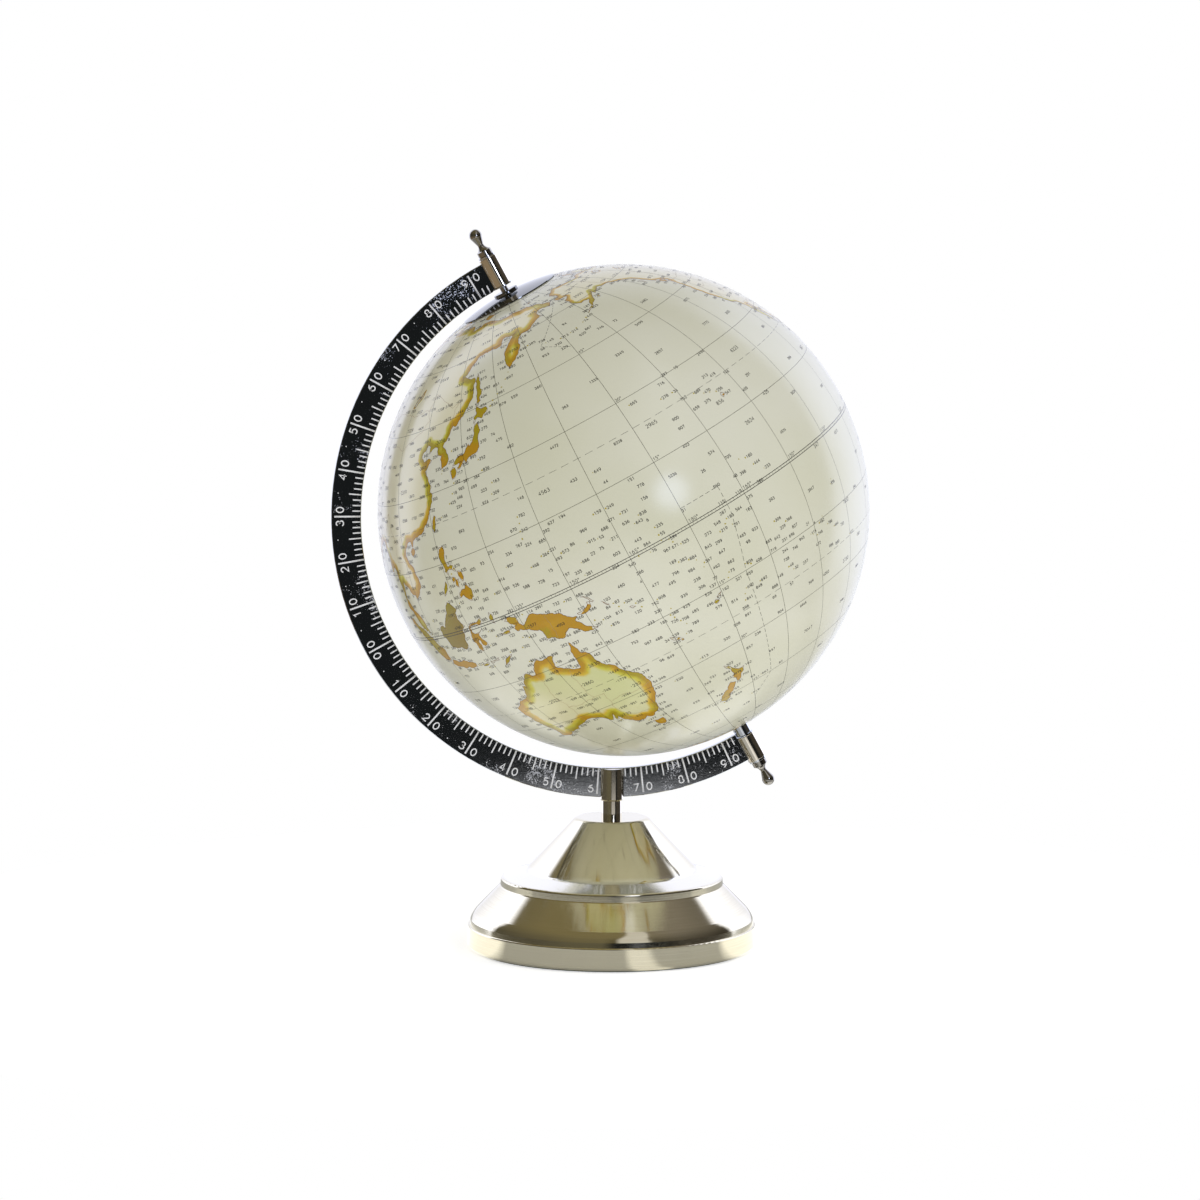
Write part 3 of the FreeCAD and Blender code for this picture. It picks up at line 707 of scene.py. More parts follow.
iceland 4.0:-24.3 65.5,-22.3 66.4,-20.6 65.7,-16 66.5,-13.7 65,-18.8 63.4,-22.6 63.9,-22 64.8;
sicily 4.0:12.5 38,15.6 38.2,15.1 36.7;
sardinia 4.0:8.3 40.8,9.5 41.2,9.6 39.2,8.5 39;
corsica 4.0:8.6 42.4,9.4 43,9.3 41.5;
crete 4.0:23.6 35.5,26.2 35.2,24.8 34.9;
cyprus 4.0:32.3 35,34.5 35.6,33.5 34.7;
zealand 4.0:11 55.3,12.5 56,12 54.8;
spitsbergen 4.0:11 79.3,18 80,27 80.1,21 78.4,17 76.7,13.5 78;
novaya_zemlya 4.0:51.6 71.5,54 73.6,60 76.1,68.5 76.9,60 74.8,55.6 73,57.3 70.7;
severnaya_zemlya 4.0:95 79,98 80.8,105 79.2,102 78;
new_siberia 4.0:138 74.5,140 76,149 75.2,143 73.4;
wrangel 4.0:178.6 71.1,181 71.5,182 71,180 70.8;
greenland 5.0:-73 78.2,-66 80,-58 82.1,-45 82.6,-32 83.5,-22 82,-17 80.3,-19 77,-20.5 74.5,-22.5 72,
-22.5 70.2,-30 68.2,-37 65.8,-41 63.4,-43.6 60,-48.4 61.2,-51.6 64.2,-53.6 67,-51.2 69.6,-54.6 71.2,
-58.4 75.3,-68 76.1;
baffin 4.0:-65 61.9,-71.6 63,-78 64.6,-73.6 65.4,-73 67.6,-77.4 69.8,-88.6 70.6,-89.6 73,-81.8 73.7,
-77 72.5,-67.6 69.6,-62 66.8,-65 65.4,-64 63;
ellesmere 4.0:-89 76.6,-87.5 79,-92.6 81.2,-78 83,-62 82.4,-71 80,-78.4 76.5;
victoria_island 4.0:-117 69.9,-113.5 68.6,-105 69,-101.4 69.8,-105.4 72.6,-113 73,-118.6 71.6;
banks 4.0:-125 72,-122.6 71.2,-117 73,-121.4 74.5,-124.8 74;
melville 4.0:-117 75.4,-109 74.9,-106 75.6,-110 76.4,-116 76.4;
devon 4.0:-96 76.4,-92 74.8,-80 74.6,-84 75.7,-90 76.5;
axel_heiberg 4.0:-95 79.4,-91 78.3,-86.6 80.2,-91 81;
southampton 4.0:-87 63.6,-80.4 63.9,-84 65.8;
newfoundland 4.0:-59.3 47.7,-55.6 46.9,-52.8 47,-53.6 48.8,-55.8 51.5,-57.3 50.2;
cuba 4.0:-84.9 21.9,-82 23.1,-77.6 22,-74.2 20.2,-77.6 19.9,-78.6 21.3,-82 22.3;
hispaniola 4.0:-74.4 18.4,-73.2 19.9,-69.9 19.8,-68.4 18.5,-71.4 17.8;
jamaica 4.0:-78.3 18.3,-76.3 18.2,-77.2 17.8;
puerto_rico 4.0:-67.2 18.4,-65.7 18.4,-66.2 18;
vancouver_island 4.0:-128.3 50.7,-125.2 50,-123.4 48.4,-125.6 48.8;
haida 4.0:-133 54.1,-131.7 54,-131.2 52.3;
kodiak 4.0:-154.6 57.4,-152.4 58.2,-152.8 57.2;
hawaii 4.0:-156 19.7,-155.6 20.2,-154.9 19.5,-155.7 19;
falklands 4.0:-61 -51.9,-59.6 -51.3,-57.9 -51.6,-59.8 -52.2;
south_georgia 4.0:-38 -54,-36.2 -54.4,-36 -54.9;
kerguelen 4.0:68.8 -49,70.4 -49.1,69.4 -49.7;
black_sea 2.0:29 41.3,27.9 42.4,28.7 44.2,30.8 46.4,33.4 46,32.6 45.3,33.6 44.5,36 45.1,35.2 46.2,
38.8 47.2,37.6 45.4,38.4 44.3,41.4 42.5,41.4 41.5,38.4 41,35 42,31.6 41.4;
caspian 2.0:47.4 44.7,49.2 46.4,52.9 46.9,53 45.3,50.6 44.4,52.4 42.7,52.9 41.2,53.8 39,54 37,51.4 36.6,
48.9 38.2,49.9 40.3,48.2 42,47.5 43.2;
aral 0.8:58.6 44.4,59.6 46.3,61.4 46.2,60.6 44;
baikal 0.8:103.9 51.6,108 53.8,109.6 55.7,109.2 53.8,106 51.9;
balkhash 0.8:73.6 45.2,74.2 46.4,79 46.6,75 46;
ladoga 0.8:30.6 60.6,31 61.6,32.8 61,32 60.1;
lake_victoria 0.8:31.8 -0.6,33.4 0.4,34.1 -0.8,33.2 -2.4,31.9 -2.3;
lake_chad 0.8:13.6 13.2,14.6 13.8,14.9 12.9;
tanganyika 0.8:29.1 -3.6,29.5 -3.5,31.1 -8.5,30.4 -8.4;
superior 0.8:-92 46.8,-89 48.2,-86.4 48.7,-84.6 46.6,-88 46.9;
michigan 0.8:-87.8 42.4,-87.4 44.8,-85.3 45.8,-86.4 43.6,-86.7 41.9;
huron 0.8:-83.4 45.7,-80.6 45.8,-80.2 44.6,-82 43.2,-83.4 44;
erie_ontario 0.8:-83.2 41.9,-79 43.2,-76.3 44.1,-76.4 43.5,-81 41.8;
winnipeg 0.8:-98.8 53.8,-97.4 53.4,-96.4 50.6,-97 50.7;
great_bear 0.8:-124.6 66,-121 66.9,-119 65.4,-122.4 65;
great_slave 0.8:-116.8 61.2,-112 62.6,-111 62.4,-114.6 60.9"""

# State borders and their bends: "longitude latitude" pairs, with a semicolon after each line.
BORDERS: str = """
129 -14.9,129 -31.6;138 -16.6,138 -26,129 -26;138 -26,141 -26,141 -38;141 -29,149 -29,151.5 -28.7,
153.4 -28.2;141 -34,144 -35.8,148 -36.5,150 -37.4;141 -2.7,141 -9;109.7 1.8,112 1.4,115 3.5,117.6 4.1;
130.7 42.4,131.2 44.8,134.7 48.3,131 47.7,127.5 50,120.5 53.2,117.8 49.5,116 49.8,98 50.5,92 50.7,
87.5 49.2,80 44.9,74 40,73.5 37.5,78 35.5,79 31.5,84 28.8,92 27.5,97.5 28.3,98.6 24.6,101 21.6,105.5 23.1,
108 21.6;87.5 49.2,90.8 46.5,96.4 42.7,105 41.6,111.8 43.7,119.8 46.7,117.8 49.5;87.5 49.2,77.5 54,
69 55.4,61 53.8,61.5 51,50.8 51.6,47 50,49 46.5;53 41.4,58.6 42.7,61 41.2,66.5 41.9,71 42.2,74 40;54 37.3,
61.2 36.6,66.5 37.3,71 36.8,74.6 37.1;61.2 36.6,60.8 31.5,61.6 25.3;60.8 29.8,66.3 29.8,69.4 32.5,
71.5 36.2;68.2 23.8,71 27.9,74.6 31,74.4 33.4,78 35.5;89 21.8,88.8 26,92 25.1,92.3 21;92.3 21,94.5 25,
97.5 28.3;97.6 18.4,98.6 16.3,99.1 12.8,98.7 10.2;101 21.6,100.4 17.8,104.6 17.5,107.5 14.5,106 11,
104.6 10.4;102.7 12.1,103 14.3,105.6 14.3;44.8 37.2,42.4 37.1,36.5 36.8;44.8 37.2,46 33.2,48.4 30.2;
39 32.1,44.8 29.2,47.6 28.6;39 32.1,35.6 32.7;52 19,55 20,55.2 22.8,51.6 24.2;43.2 17.4,48 18.1,52 19,
53 16.8;44.8 37.2,44.8 39.7,43.4 41.1,41.6 41.5;28.3 45.3,26.6 48.2,22.6 48.2,16.1 46.8,13.7 45.6;
22.6 48.2,18.9 49.5,15 51,14.3 53.8;13.7 46.5,10.4 46.9,7 45.9,7.5 43.9;7.6 47.6,8.1 49,6.1 50.2,3 51;
-1.7 43.4,3.1 42.5;-7 37.3,-7 41.8,-8.7 41.9;28 59.5,27.7 57.4,30.8 55.6,32.5 52.3,24 51.6,23.6 54,
21 55.3;40 49.6,35.5 50.4,32.5 52.3;28.9 69.1,30 67.7,31.5 62.8,28 60.6;24.1 65.9,20.6 69.1,14.5 66.1,
12 61.5,11.4 59;25 31.6,25 22,36.9 22;9.5 30.3,11.5 33.1;9.5 30.3,12 23.5,24 19.5,24 22;-8.7 27.5,
4.2 19.1,12 23.5;-8.7 27.5,-1.3 32.3,-2.2 35.1;-5.5 25,-5.5 15.5,-12 15,-16.3 16.5;15 23,15.5 16.5,
13.6 13.7,3.6 11.7;24 19.5,24 15.6,22.4 10.9,27.4 5,34 4.2,35.9 9.7,36.4 14.3,43.1 12.5;2.7 6.3,3.6 11.7,
0 15,-5 11,-11.4 12.4;14 4,18.5 4,27.4 5;41 4,41 -1.2;41 4,48 8,43 11;30.7 2.3,29.6 -1.4,29.2 -4.4,
30.7 -8.3,28.4 -12.4,33 -14,35.8 -11.5,40.4 -10.5;30.4 -1.1,34 -1,39.2 -4.7;12.2 -5.8,16.6 -5.9,18 -8,
22 -11,24 -13,23.3 -17.6,11.8 -17.2;20 -28.4,20 -22,21 -18.3,25.3 -17.8,29.4 -22.2,25.6 -25.6,20 -26.8;
17 -28.6,20 -28.4;29.4 -22.2,31.3 -22.4,32 -26.8;30.4 -15.6,33 -18.5,31.3 -22.4;-141 69.6,-141 60.3,
-137.5 58.9,-130 55;-123.1 49,-95.2 49,-88.4 48.3,-83.5 46,-79 42.9,-74.7 45,-71 45.3,-69.2 47.4,
-67.8 45.7;-117.1 32.5,-111 31.3,-106.5 31.8,-104.5 29.6,-101.4 29.8,-99.2 26.4,-97.2 25.9;-120 60,
-60.5 60;-110 49,-110 60;-120 49.1,-120 60;-102 49,-102 60;-114 42,-120 42,-120 39,-114.6 35;-114 49,
-114 37,-103 37,-103 41,-104 49;-109 37,-109 31.4;-94.6 36.5,-94.6 40.6,-96.5 43.5,-104 43;-94.2 33.6,
-91.2 33,-89.5 36.5,-91.5 40.5,-91.2 43.5;-88 35,-81 35,-75.9 36.5;-85 31,-85.2 35;-92.2 14.6,-90.4 16.1,
-89.1 17.8;-77.4 8.5,-77.9 7.3;-78.8 1.4,-75.3 0,-70 -4.2,-69.5 1.2,-67 1.2,-67.5 6.2,-72 7,-71.4 11.8;
-67 1.2,-60 5.2,-60 8.3;-60 5,-58 1.6,-52 4.2;-70 -4.2,-73.9 -7.4,-70.5 -9.5,-69 -12.5,-69.5 -17.5;
-69.5 -11,-60 -13.8,-58 -19.8,-62.5 -22.3,-67.8 -22.8,-69.5 -17.5;-58 -19.8,-54.6 -25.5,-58.5 -27.3,
-62.5 -22.3;-54.6 -25.5,-57.6 -30.2,-53.4 -33.7;-57.6 -30.2,-58.3 -33.8;-68 -24,-70 -31,-71.3 -38,-72 -47,
-72.4 -51.5,-68.5 -52.3;-68.6 -52.7,-68.6 -54.8"""

# Islets too small for an outline: "longitude latitude" pairs.
ISLETS: str = """
145 15.1,144.8 13.5,145.7 18.1,145.6 16.7,138.1 9.5,151.8 7.4,158.2 6.9,163 5.3,134.5 7.5,132.2 5.3,
147.3 8.6,143.9 7.4,149.3 8.9,154.3 1.1,154.9 3.8,160.7 6.7,171.1 7.1,167.7 9.1,169.5 5.9,165.4 11.5,
162.3 11.6,166.6 19.3,173 1.4,173 3.2,174.5 -0.4,172.9 0.2,175 -1.3,176.4 -2.5,166.9 -0.5,169.6 -0.9,
179.2 -8.5,177.8 -7.2,176.3 -6.3,174.1 -5.7,178.7 -9.4,183.5 -13.3,182.8 -14.3,188 -13.6,188.6 -13.9,
189.3 -14.3,184.8 -21.2,186 -18.7,185.2 -19.8,190 -19,200.2 -21.2,198.9 -20,202 -10.4,199 -9,188.3 -2.8,
185.6 -4.5,187.5 -3.6,189 -4.5,202.6 1.9,199.6 5.9,200.6 3.9,197.9 6.4,210.4 -17.6,209 -16.8,208.2 -16.5,
212 -15.5,215 -17,217.5 -18.5,220.3 -9.8,221 -8.9,213.6 -14.6,225 -23.1,229.9 -25.1,250.6 -27.1,
203.6 20.9,202 21.5,200.5 22,198.2 23.1,193.8 25.7,190.3 25.8,182.6 28.2,141.3 24.8,142.2 27.1,139.8 33.1,
140.3 30.5,127.9 26.5,129.4 28.3,130.5 30.4,124.2 24.4,126.8 34,126.5 33.4,131 37.5,138.4 38,146.8 43.9,
148 45,150 46,152 47.2,154 48.8,155.6 50.3,166.2 55,173 52.9,178.6 51.8,183 51.8,186 52.2,189.8 52.8,
192.4 53.6,195.4 54.6,170 -45,168 -47,183.4 -44,159 -31.5,168 -29,158.8 -54.5,166.1 -50.8,178.8 -49.7,
105.7 -10.5,96.9 -12.1,136.5 -14,131 -11.6,130.4 -11.4,139.5 -16.6,137.6 -35.8,148.2 -40.1,144 -39.9,
152.8 -9.3,151 -8.6,153.7 -11.3,147 -2.1,156.8 -7,157.5 -8.2,159 -8,161.2 -9.2,162 -10.5,165.9 -10.7,
166.8 -15.3,167.4 -16.3,168.3 -17.7,169.2 -19,167.6 -14,168 -21.2,118.1 -9.7,120 -9.8,115.2 -8.4,
116.3 -8.6,126.4 -3.4,126 -1.9,125 -1.8,131.3 -7.8,134.5 -6.2,130 -0.2,136.2 -1,127.3 -7.8,133 -5.7,
123.2 -4.9,106.4 -2.6,107.7 -2.8,104.4 1,108 3.9,97.6 1.2,98.9 -1.4,100.3 -2.8,121 6,120 9.9,122.3 12.4,
123.8 10.2,92.8 12.5,93.8 7,73.2 4.2,72.4 -6.3,57.5 -20.2,55.5 -21.1,55.5 -4.7,53.8 12.5,39.4 -6.2,
44.3 -12.2,6.6 0.2,8.7 3.5,-14.4 -7.9,-5.7 -16,-12.3 -37.1,-25.6 37.8,-28 38.6,-17 32.7,-16.5 28.2,
-14 28.6,-23.6 15.1,-24.9 16.9,-32.4 -3.9,-64.8 32.3,-61.5 16.2,-61 14.6,-61.2 13.2,-61.6 12.1,-59.6 13.2,
-61.3 10.4,-77.4 25,-78 24.4,-76 23.5,-74 22.6,-78 26.6,-68.9 12.2,-81.3 19.4,-90.9 -0.4,-89.5 -0.8,
-80.8 -33.6,-109.3 -27.1,-7 62,-1.3 60.3,-3 59,-7 57.6,19 60.1,18.5 57.5,22.6 58.4,3 39.7,14.5 35.9,
28 36.3,26.5 39.1,48.5 -53,37.8 -46.9,51.7 -46.4,-26.4 -57.8,-45.5 -60.6,-59 -62.2"""


# ---------------------------------------------------------------- laying out shapes
def stroke_figures() -> dict[str, list[Stroke]]:
    """The single-stroke figures 0-9 and the degree ring.

    Returns:
        For each figure its strokes, each a run of points in a box 0.66 wide and 1 high, with
        whether the run closes.
    """

    def arc(x: float, y: float, rx: float, ry: float, start: float, end: float,
            steps: int) -> list[tuple[float, float]]:
        """Points along part of an ellipse, from one angle to another."""
        turns = [math.radians(start + (end - start) * i / steps) for i in range(steps + 1)]
        return [(x + rx * math.cos(turn), y + ry * math.sin(turn)) for turn in turns]

    def ring(x: float, y: float, rx: float, ry: float) -> Stroke:
        """A whole ellipse."""
        return arc(x, y, rx, ry, 0, 360, 16)[:-1], True

    six = [ring(0.33, 0.31, 0.29, 0.31),
           ([(0.04, 0.31), (0.06, 0.52), (0.18, 0.8), (0.5, 1.0)], False)]
    nine = [([(0.66 - x, 1 - y) for x, y in run], closed) for run, closed in six]
    return {
        "0": [ring(0.33, 0.5, 0.31, 0.5)],
        "1": [([(0.12, 0.78), (0.36, 1.0), (0.36, 0.0)], False)],
        "2": [(arc(0.33, 0.7, 0.28, 0.3, 170, -35, 9) + [(0.04, 0.0), (0.62, 0.0)], False)],
        "3": [(arc(0.31, 0.745, 0.26, 0.255, 160, -80, 8), False),
              (arc(0.31, 0.27, 0.31, 0.27, 95, -160, 9), False)],
        "4": [([(0.46, 0.0), (0.46, 1.0), (0.02, 0.3), (0.64, 0.3)], False)],
        "5": [([(0.58, 1.0), (0.14, 1.0), (0.1, 0.56)] + arc(0.32, 0.33, 0.3, 0.33, 125, -140, 9),
               False)],
        "6": six,
        "7": [([(0.03, 1.0), (0.62, 1.0), (0.22, 0.0)], False)],
        "8": [ring(0.33, 0.76, 0.24, 0.24), ring(0.33, 0.27, 0.3, 0.27)],
        "9": nine,
        "o": [ring(0.22, 0.84, 0.15, 0.15)],
    }


FIGURES = stroke_figures()
FIGURE_WIDTH = 0.66
LETTER_GAP = 0.24
SHARPEST_BEND = 0.55
NEARLY_NOTHING = 1e-9


@dataclass
class Sheet:
    """Vertices and faces gathered for one mesh piece."""

    points: list[Array] = field(default_factory=list)
    faces: list[Array] = field(default_factory=list)
    count: int = 0

    def strip(self, run: Array, up: Array, width: float, closed: bool = False) -> None:
        """Adds a flat strip along a run of points.

        Args:
            run: the middle line, one row per point, in metres.
            up: the surface normal at each point.
            width: the strip's width in metres.
            closed: whether the last point joins the first.
        """
        if closed:
            ahead, behind = np.roll(run, -1, axis=0), np.roll(run, 1, axis=0)
        else:
            ahead = np.vstack([run[1:], 2 * run[-1] - run[-2]])
            behind = np.vstack([2 * run[0] - run[1], run[:-1]])
        before, after = unit(run - behind), unit(ahead - run)
        side = unit(np.cross(up, unit(before + after + NEARLY_NOTHING)))
        bend = np.clip(np.sum(side * np.cross(up, after), axis=1), SHARPEST_BEND, 1.0)
        offset = side * (width / 2 / bend)[:, None]
        number = len(run)
        self.points += [run + offset, run - offset]
        last = number if closed else number - 1
        here = np.arange(last)
        there = (here + 1) % number
        quads = np.stack([here, here + number, there + number, there], axis=1)
        self.faces.append(quads + self.count)
        self.count += 2 * number

    def patch(self, rim: Array, centre: Array) -> None:
        """Adds a small filled patch.

        Args:
            rim: its rim, anticlockwise seen from outside.
            centre: its middle.
        """
        number = len(rim)
        self.points += [centre[None, :], rim]
        here = np.arange(number)
        fan = np.stack([np.zeros(number, int), here + 1, (here + 1) % number + 1], axis=1)
        self.faces.append(fan + self.count)
        self.count += number + 1

    def mesh(self, name: str) -> bpy.types.Mesh:
        """Makes a mesh of what was gathered.

        Args:
            name: the mesh's name.

        Returns:
            The new mesh, shaded smooth.
        """
        faces = [face for group in self.faces for face in group.tolist()]
        made = bpy.data.meshes.new(name)
        made.from_pydata(np.concatenate(self.points).tolist(), [], faces)
        made.shade_smooth()
        return made


def into_scene(name: str, data: bpy.types.ID) -> bpy.types.Object:
    """Links a new object to the scene.

    Args:
        name: its name.
        data: its mesh, lamp or camera.

    Returns:
        The new object.
    """
    thing = bpy.data.objects.new(name, data)
    bpy.context.scene.collection.objects.link(thing)
    return thing


def place_piece(name: str, mesh: bpy.types.Mesh, body: Body,
                finish: Finish) -> bpy.types.Object:
    """Puts a mesh in the scene, dressed and riding on its body.

    Args:
        name: the piece's name.
        mesh: its mesh, in the model's frame.
        body: the body that it rides on.
        finish: its finish.

    Returns:
        The new object.
    """
    mesh.materials.append(finish.material())
    piece = into_scene(name, mesh)
    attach(piece, body.value)
    log.info("%s: %d vertices, %d faces", name, len(mesh.vertices), len(mesh.polygons))
    return piece


def unit(rows: Array) -> Array:
    """Each row scaled to length 1."""
    return rows / np.maximum(np.linalg.norm(rows, axis=-1, keepdims=True), 1e-12)


# ---------------------------------------------------------------- the ball
def globe_axis() -> tuple[Array, Array]:
    """The point that the ball turns about, and the direction of its north pole."""
    joint = next(one for one in frame["joints"] if one["name"] == "globe_spin")
    return np.array(joint["pos_m"]), np.array(joint["axis"])


def level_across(pole: Array) -> Array:
    """The direction at right angles to the pole, in the plane of the half-ring."""
    return np.array([pole[2], 0.0, -pole[0]])


@dataclass(frozen=True)
class MapFrame:
    """Where longitude and latitude lie on the ball."""

    centre: Array
    pole: Array
    radius: float
    side_longitude: float = 264.2
    stretch: float = 0.061
    drop: float = 1.61

    def drawn_latitude(self, latitude: Array) -> Array:
        """The latitude at which the map is drawn: stretched off the equator, and dropped.

        Args:
            latitude: latitudes of the map.

        Returns:
            The ball's own latitudes.
        """
        latitude = np.asarray(latitude, float)
        share = np.abs(latitude / 90)
        return latitude * (1 + self.stretch * (1 - share ** 3)) - self.drop * (1 - share ** 2)

    def map_latitude(self, drawn: Array) -> Array:
        """The map latitude that is drawn at a latitude of the ball."""
        steps = np.linspace(-90, 90, 3601)
        return np.interp(drawn, self.drawn_latitude(steps), steps)

    def normals(self, longitude: Array, drawn: Array) -> Array:
        """The ball's outward directions.

        Args:
            longitude: longitudes of the map.
            drawn: the ball's own latitudes.

        Returns:
            One direction per place.
        """
        turn = np.radians(np.asarray(longitude, float) - self.side_longitude)[..., None]
        rise = np.radians(np.asarray(drawn, float))[..., None]
        depth = np.array([0.0, 1.0, 0.0])
        level = np.cos(turn) * level_across(self.pole) + np.sin(turn) * depth
        return np.cos(rise) * level + np.sin(rise) * self.pole

    def toward(self, longitude: Array, latitude: Array) -> Array:
        """The ball's outward directions at places of the map."""
        return self.normals(longitude, self.drawn_latitude(latitude))

    def place(self, normals: Array, lift: float = 0.0) -> Array:
        """Points on the ball's skin, or a little above it."""
        return self.centre + normals * (self.radius + lift)

    def angle(self, length: float) -> float:
        """The angle at the ball's centre that a length on the skin takes, in degrees."""
        return math.degrees(length / self.radius)

    def compass(self, centre: Array) -> tuple[Array, Array]:
        """North and east along the skin at a direction from the ball's centre."""
        north = unit(self.pole - (self.pole @ centre) * centre)
        return north, np.cross(north, centre)


@dataclass(frozen=True)
class Outline:
    """A closed outline of the map, after it is roughened."""

    reach: float
    longitude: Array
    latitude: Array


LONGEST_RUN = 60
NARROWEST = 0.05
# The longest run left, in degrees, and how far its middle moves as a share of it.
COAST_ROUGHNESS = (0.42, 0.13)
BORDER_ROUGHNESS = (0.6, 0.12)


def read_pairs(text: str) -> Array:
    """The "longitude latitude" pairs of a text, one row per pair."""
    return np.array([[float(number) for number in pair.split()]
                     for pair in text.split(",") if pair.strip()])


def roughen(pairs: Array, closed: bool, step: float, share: float,
            dice: random.Random) -> Array:
    """Breaks long runs of a line by seeded sideways moves of their middles.

    Args:
        pairs: longitude and latitude rows.
        closed: whether the line closes.
        step: the longest run left, in degrees on the ball.
        share: how far a middle moves, as a share of its run.
        dice: the seeded generator.

    Returns:
        The rows of the roughened line.
    """

    def split(first: Array, second: Array) -> list[Array]:
        """Splits one run.

        Args:
            first: the run's start.
            second: its end.

        Returns:
            The points after the start, up to the end.
        """
        narrow = max(math.cos(math.radians((first[1] + second[1]) / 2)), NARROWEST)
        run = (second - first) * np.array([narrow, 1.0])
        length = float(np.hypot(*run))
        if length < step or length > LONGEST_RUN:
            return [second]
        push = dice.uniform(-share, share)
        middle = (first + second) / 2 + np.array([-run[1] / narrow, run[0]]) * push
        return split(first, middle) + split(middle, second)

    ends = list(zip(pairs, np.roll(pairs, -1, axis=0)))
    if not closed:
        ends = ends[:-1]
    made = [] if closed else [pairs[0]]
    for first, second in ends:
        made += split(first, second)
    return np.array(made)


class Chart:
    """The map's outlines on the ball, and how far each point of the ball is from a coast."""

    def __init__(self, where: MapFrame, seed: int = 7) -> None:
        """Roughens every outline and indexes their points.

        Args:
            where: the map's frame on the ball.
            seed: what the roughness is drawn from.
        """
        self.where = where
        dice = random.Random(seed)
        self.outlines: list[Outline] = []
        for entry in COASTS.split(";"):
            head, text = entry.split(":")
            rows = roughen(read_pairs(text), True, *COAST_ROUGHNESS, dice)
            self.outlines.append(Outline(float(head.split()[1]), rows[:, 0], rows[:, 1]))
        self.borders = [roughen(read_pairs(text), False, *BORDER_ROUGHNESS, dice)
                        for text in BORDERS.split(";")]
        self._index_coasts()

    def _index_coasts(self) -> None:
        """Lists every coast point with its neighbours, for the distance search."""
        runs = [self.where.place(self.where.toward(outline.longitude, outline.latitude)) / MM
                for outline in self.outlines]
        self.points = np.concatenate(runs)
        self.before = np.concatenate([np.roll(run, 1, axis=0) for run in runs])
        self.after = np.concatenate([np.roll(run, -1, axis=0) for run in runs])
        self.reach = np.concatenate([np.full(len(outline.longitude), outline.reach)
                                     for outline in self.outlines])
        self.tree = kdtree.KDTree(len(self.points))
        for number, point in enumerate(self.points):
            self.tree.insert(point, number)
        self.tree.balance()

    def nearest(self, places: Array) -> tuple[Array, Array]:
        """How far each place is from a coast, and that coast's reach.

        Args:
            places: points on the ball, in millimetres.

        Returns:
            The distances and the reaches, both in millimetres.
        """
        found = np.array([self.tree.find(place)[1] for place in places])

        def to_run(ends: Array) -> Array:
            """Distances from the places to the runs that start at their nearest points.

            Args:
                ends: each coast point's neighbour on one side.

            Returns:
                One distance per place.
            """
            start = self.points[found]
            run = ends[found] - start
            along = np.sum((places - start) * run, axis=1)
            length = np.maximum(np.sum(run * run, axis=1), NEARLY_NOTHING)
            share = np.clip(along / length, 0, 1)
            return np.linalg.norm(places - start - run * share[:, None], axis=1)

        return np.minimum(to_run(self.before), to_run(self.after)), self.reach[found]

    def land(self, longitudes: Array, latitude: float) -> Array:
        """Which places along a parallel are land.

        Args:
            longitudes: evenly spaced longitudes that cover the whole turn.
            latitude: the parallel's map latitude.

        Returns:
            True for each place on land.
        """
        inside = np.zeros(len(longitudes), bool)
        for outline in self.outlines:
            north = outline.latitude > latitude
            cross = np.flatnonzero(north != np.roll(north, -1))
            if not len(cross):
                continue
            following = (cross + 1) % len(north)
            low, high = outline.latitude[cross], outline.latitude[following]
            share = (latitude - low) / (high - low)
            west, east = outline.longitude[cross], outline.longitude[following]
            meets = np.sort(west + (east - west) * share)
            for start, end in zip(meets[::2], meets[1::2]):
                inside ^= ((longitudes - start) % 360) < (end - start)
        return inside


class Occupied:
    """Places on the ball that figures have taken."""

    def __init__(self, most: int = 9000) -> None:
        """Starts with nothing taken.

        Args:
            most: how many places there is room to note.
        """
        self.directions = np.zeros((most, 3))
        self.gaps = np.zeros(most)
        self.count = 0

    def take(self, direction: Array, gap: float) -> bool:
        """Takes a place for a figure.

        Args:
            direction: the place's direction from the ball's centre.
            gap: how much room it needs, in radians.

        Returns:
            False where the room is already taken.
        """
        near = self.directions[:self.count] @ direction
        if np.any(near > np.cos((self.gaps[:self.count] + gap) / 2)):
            return False
        self.directions[self.count] = direction
        self.gaps[self.count] = gap
        self.count += 1
        return True


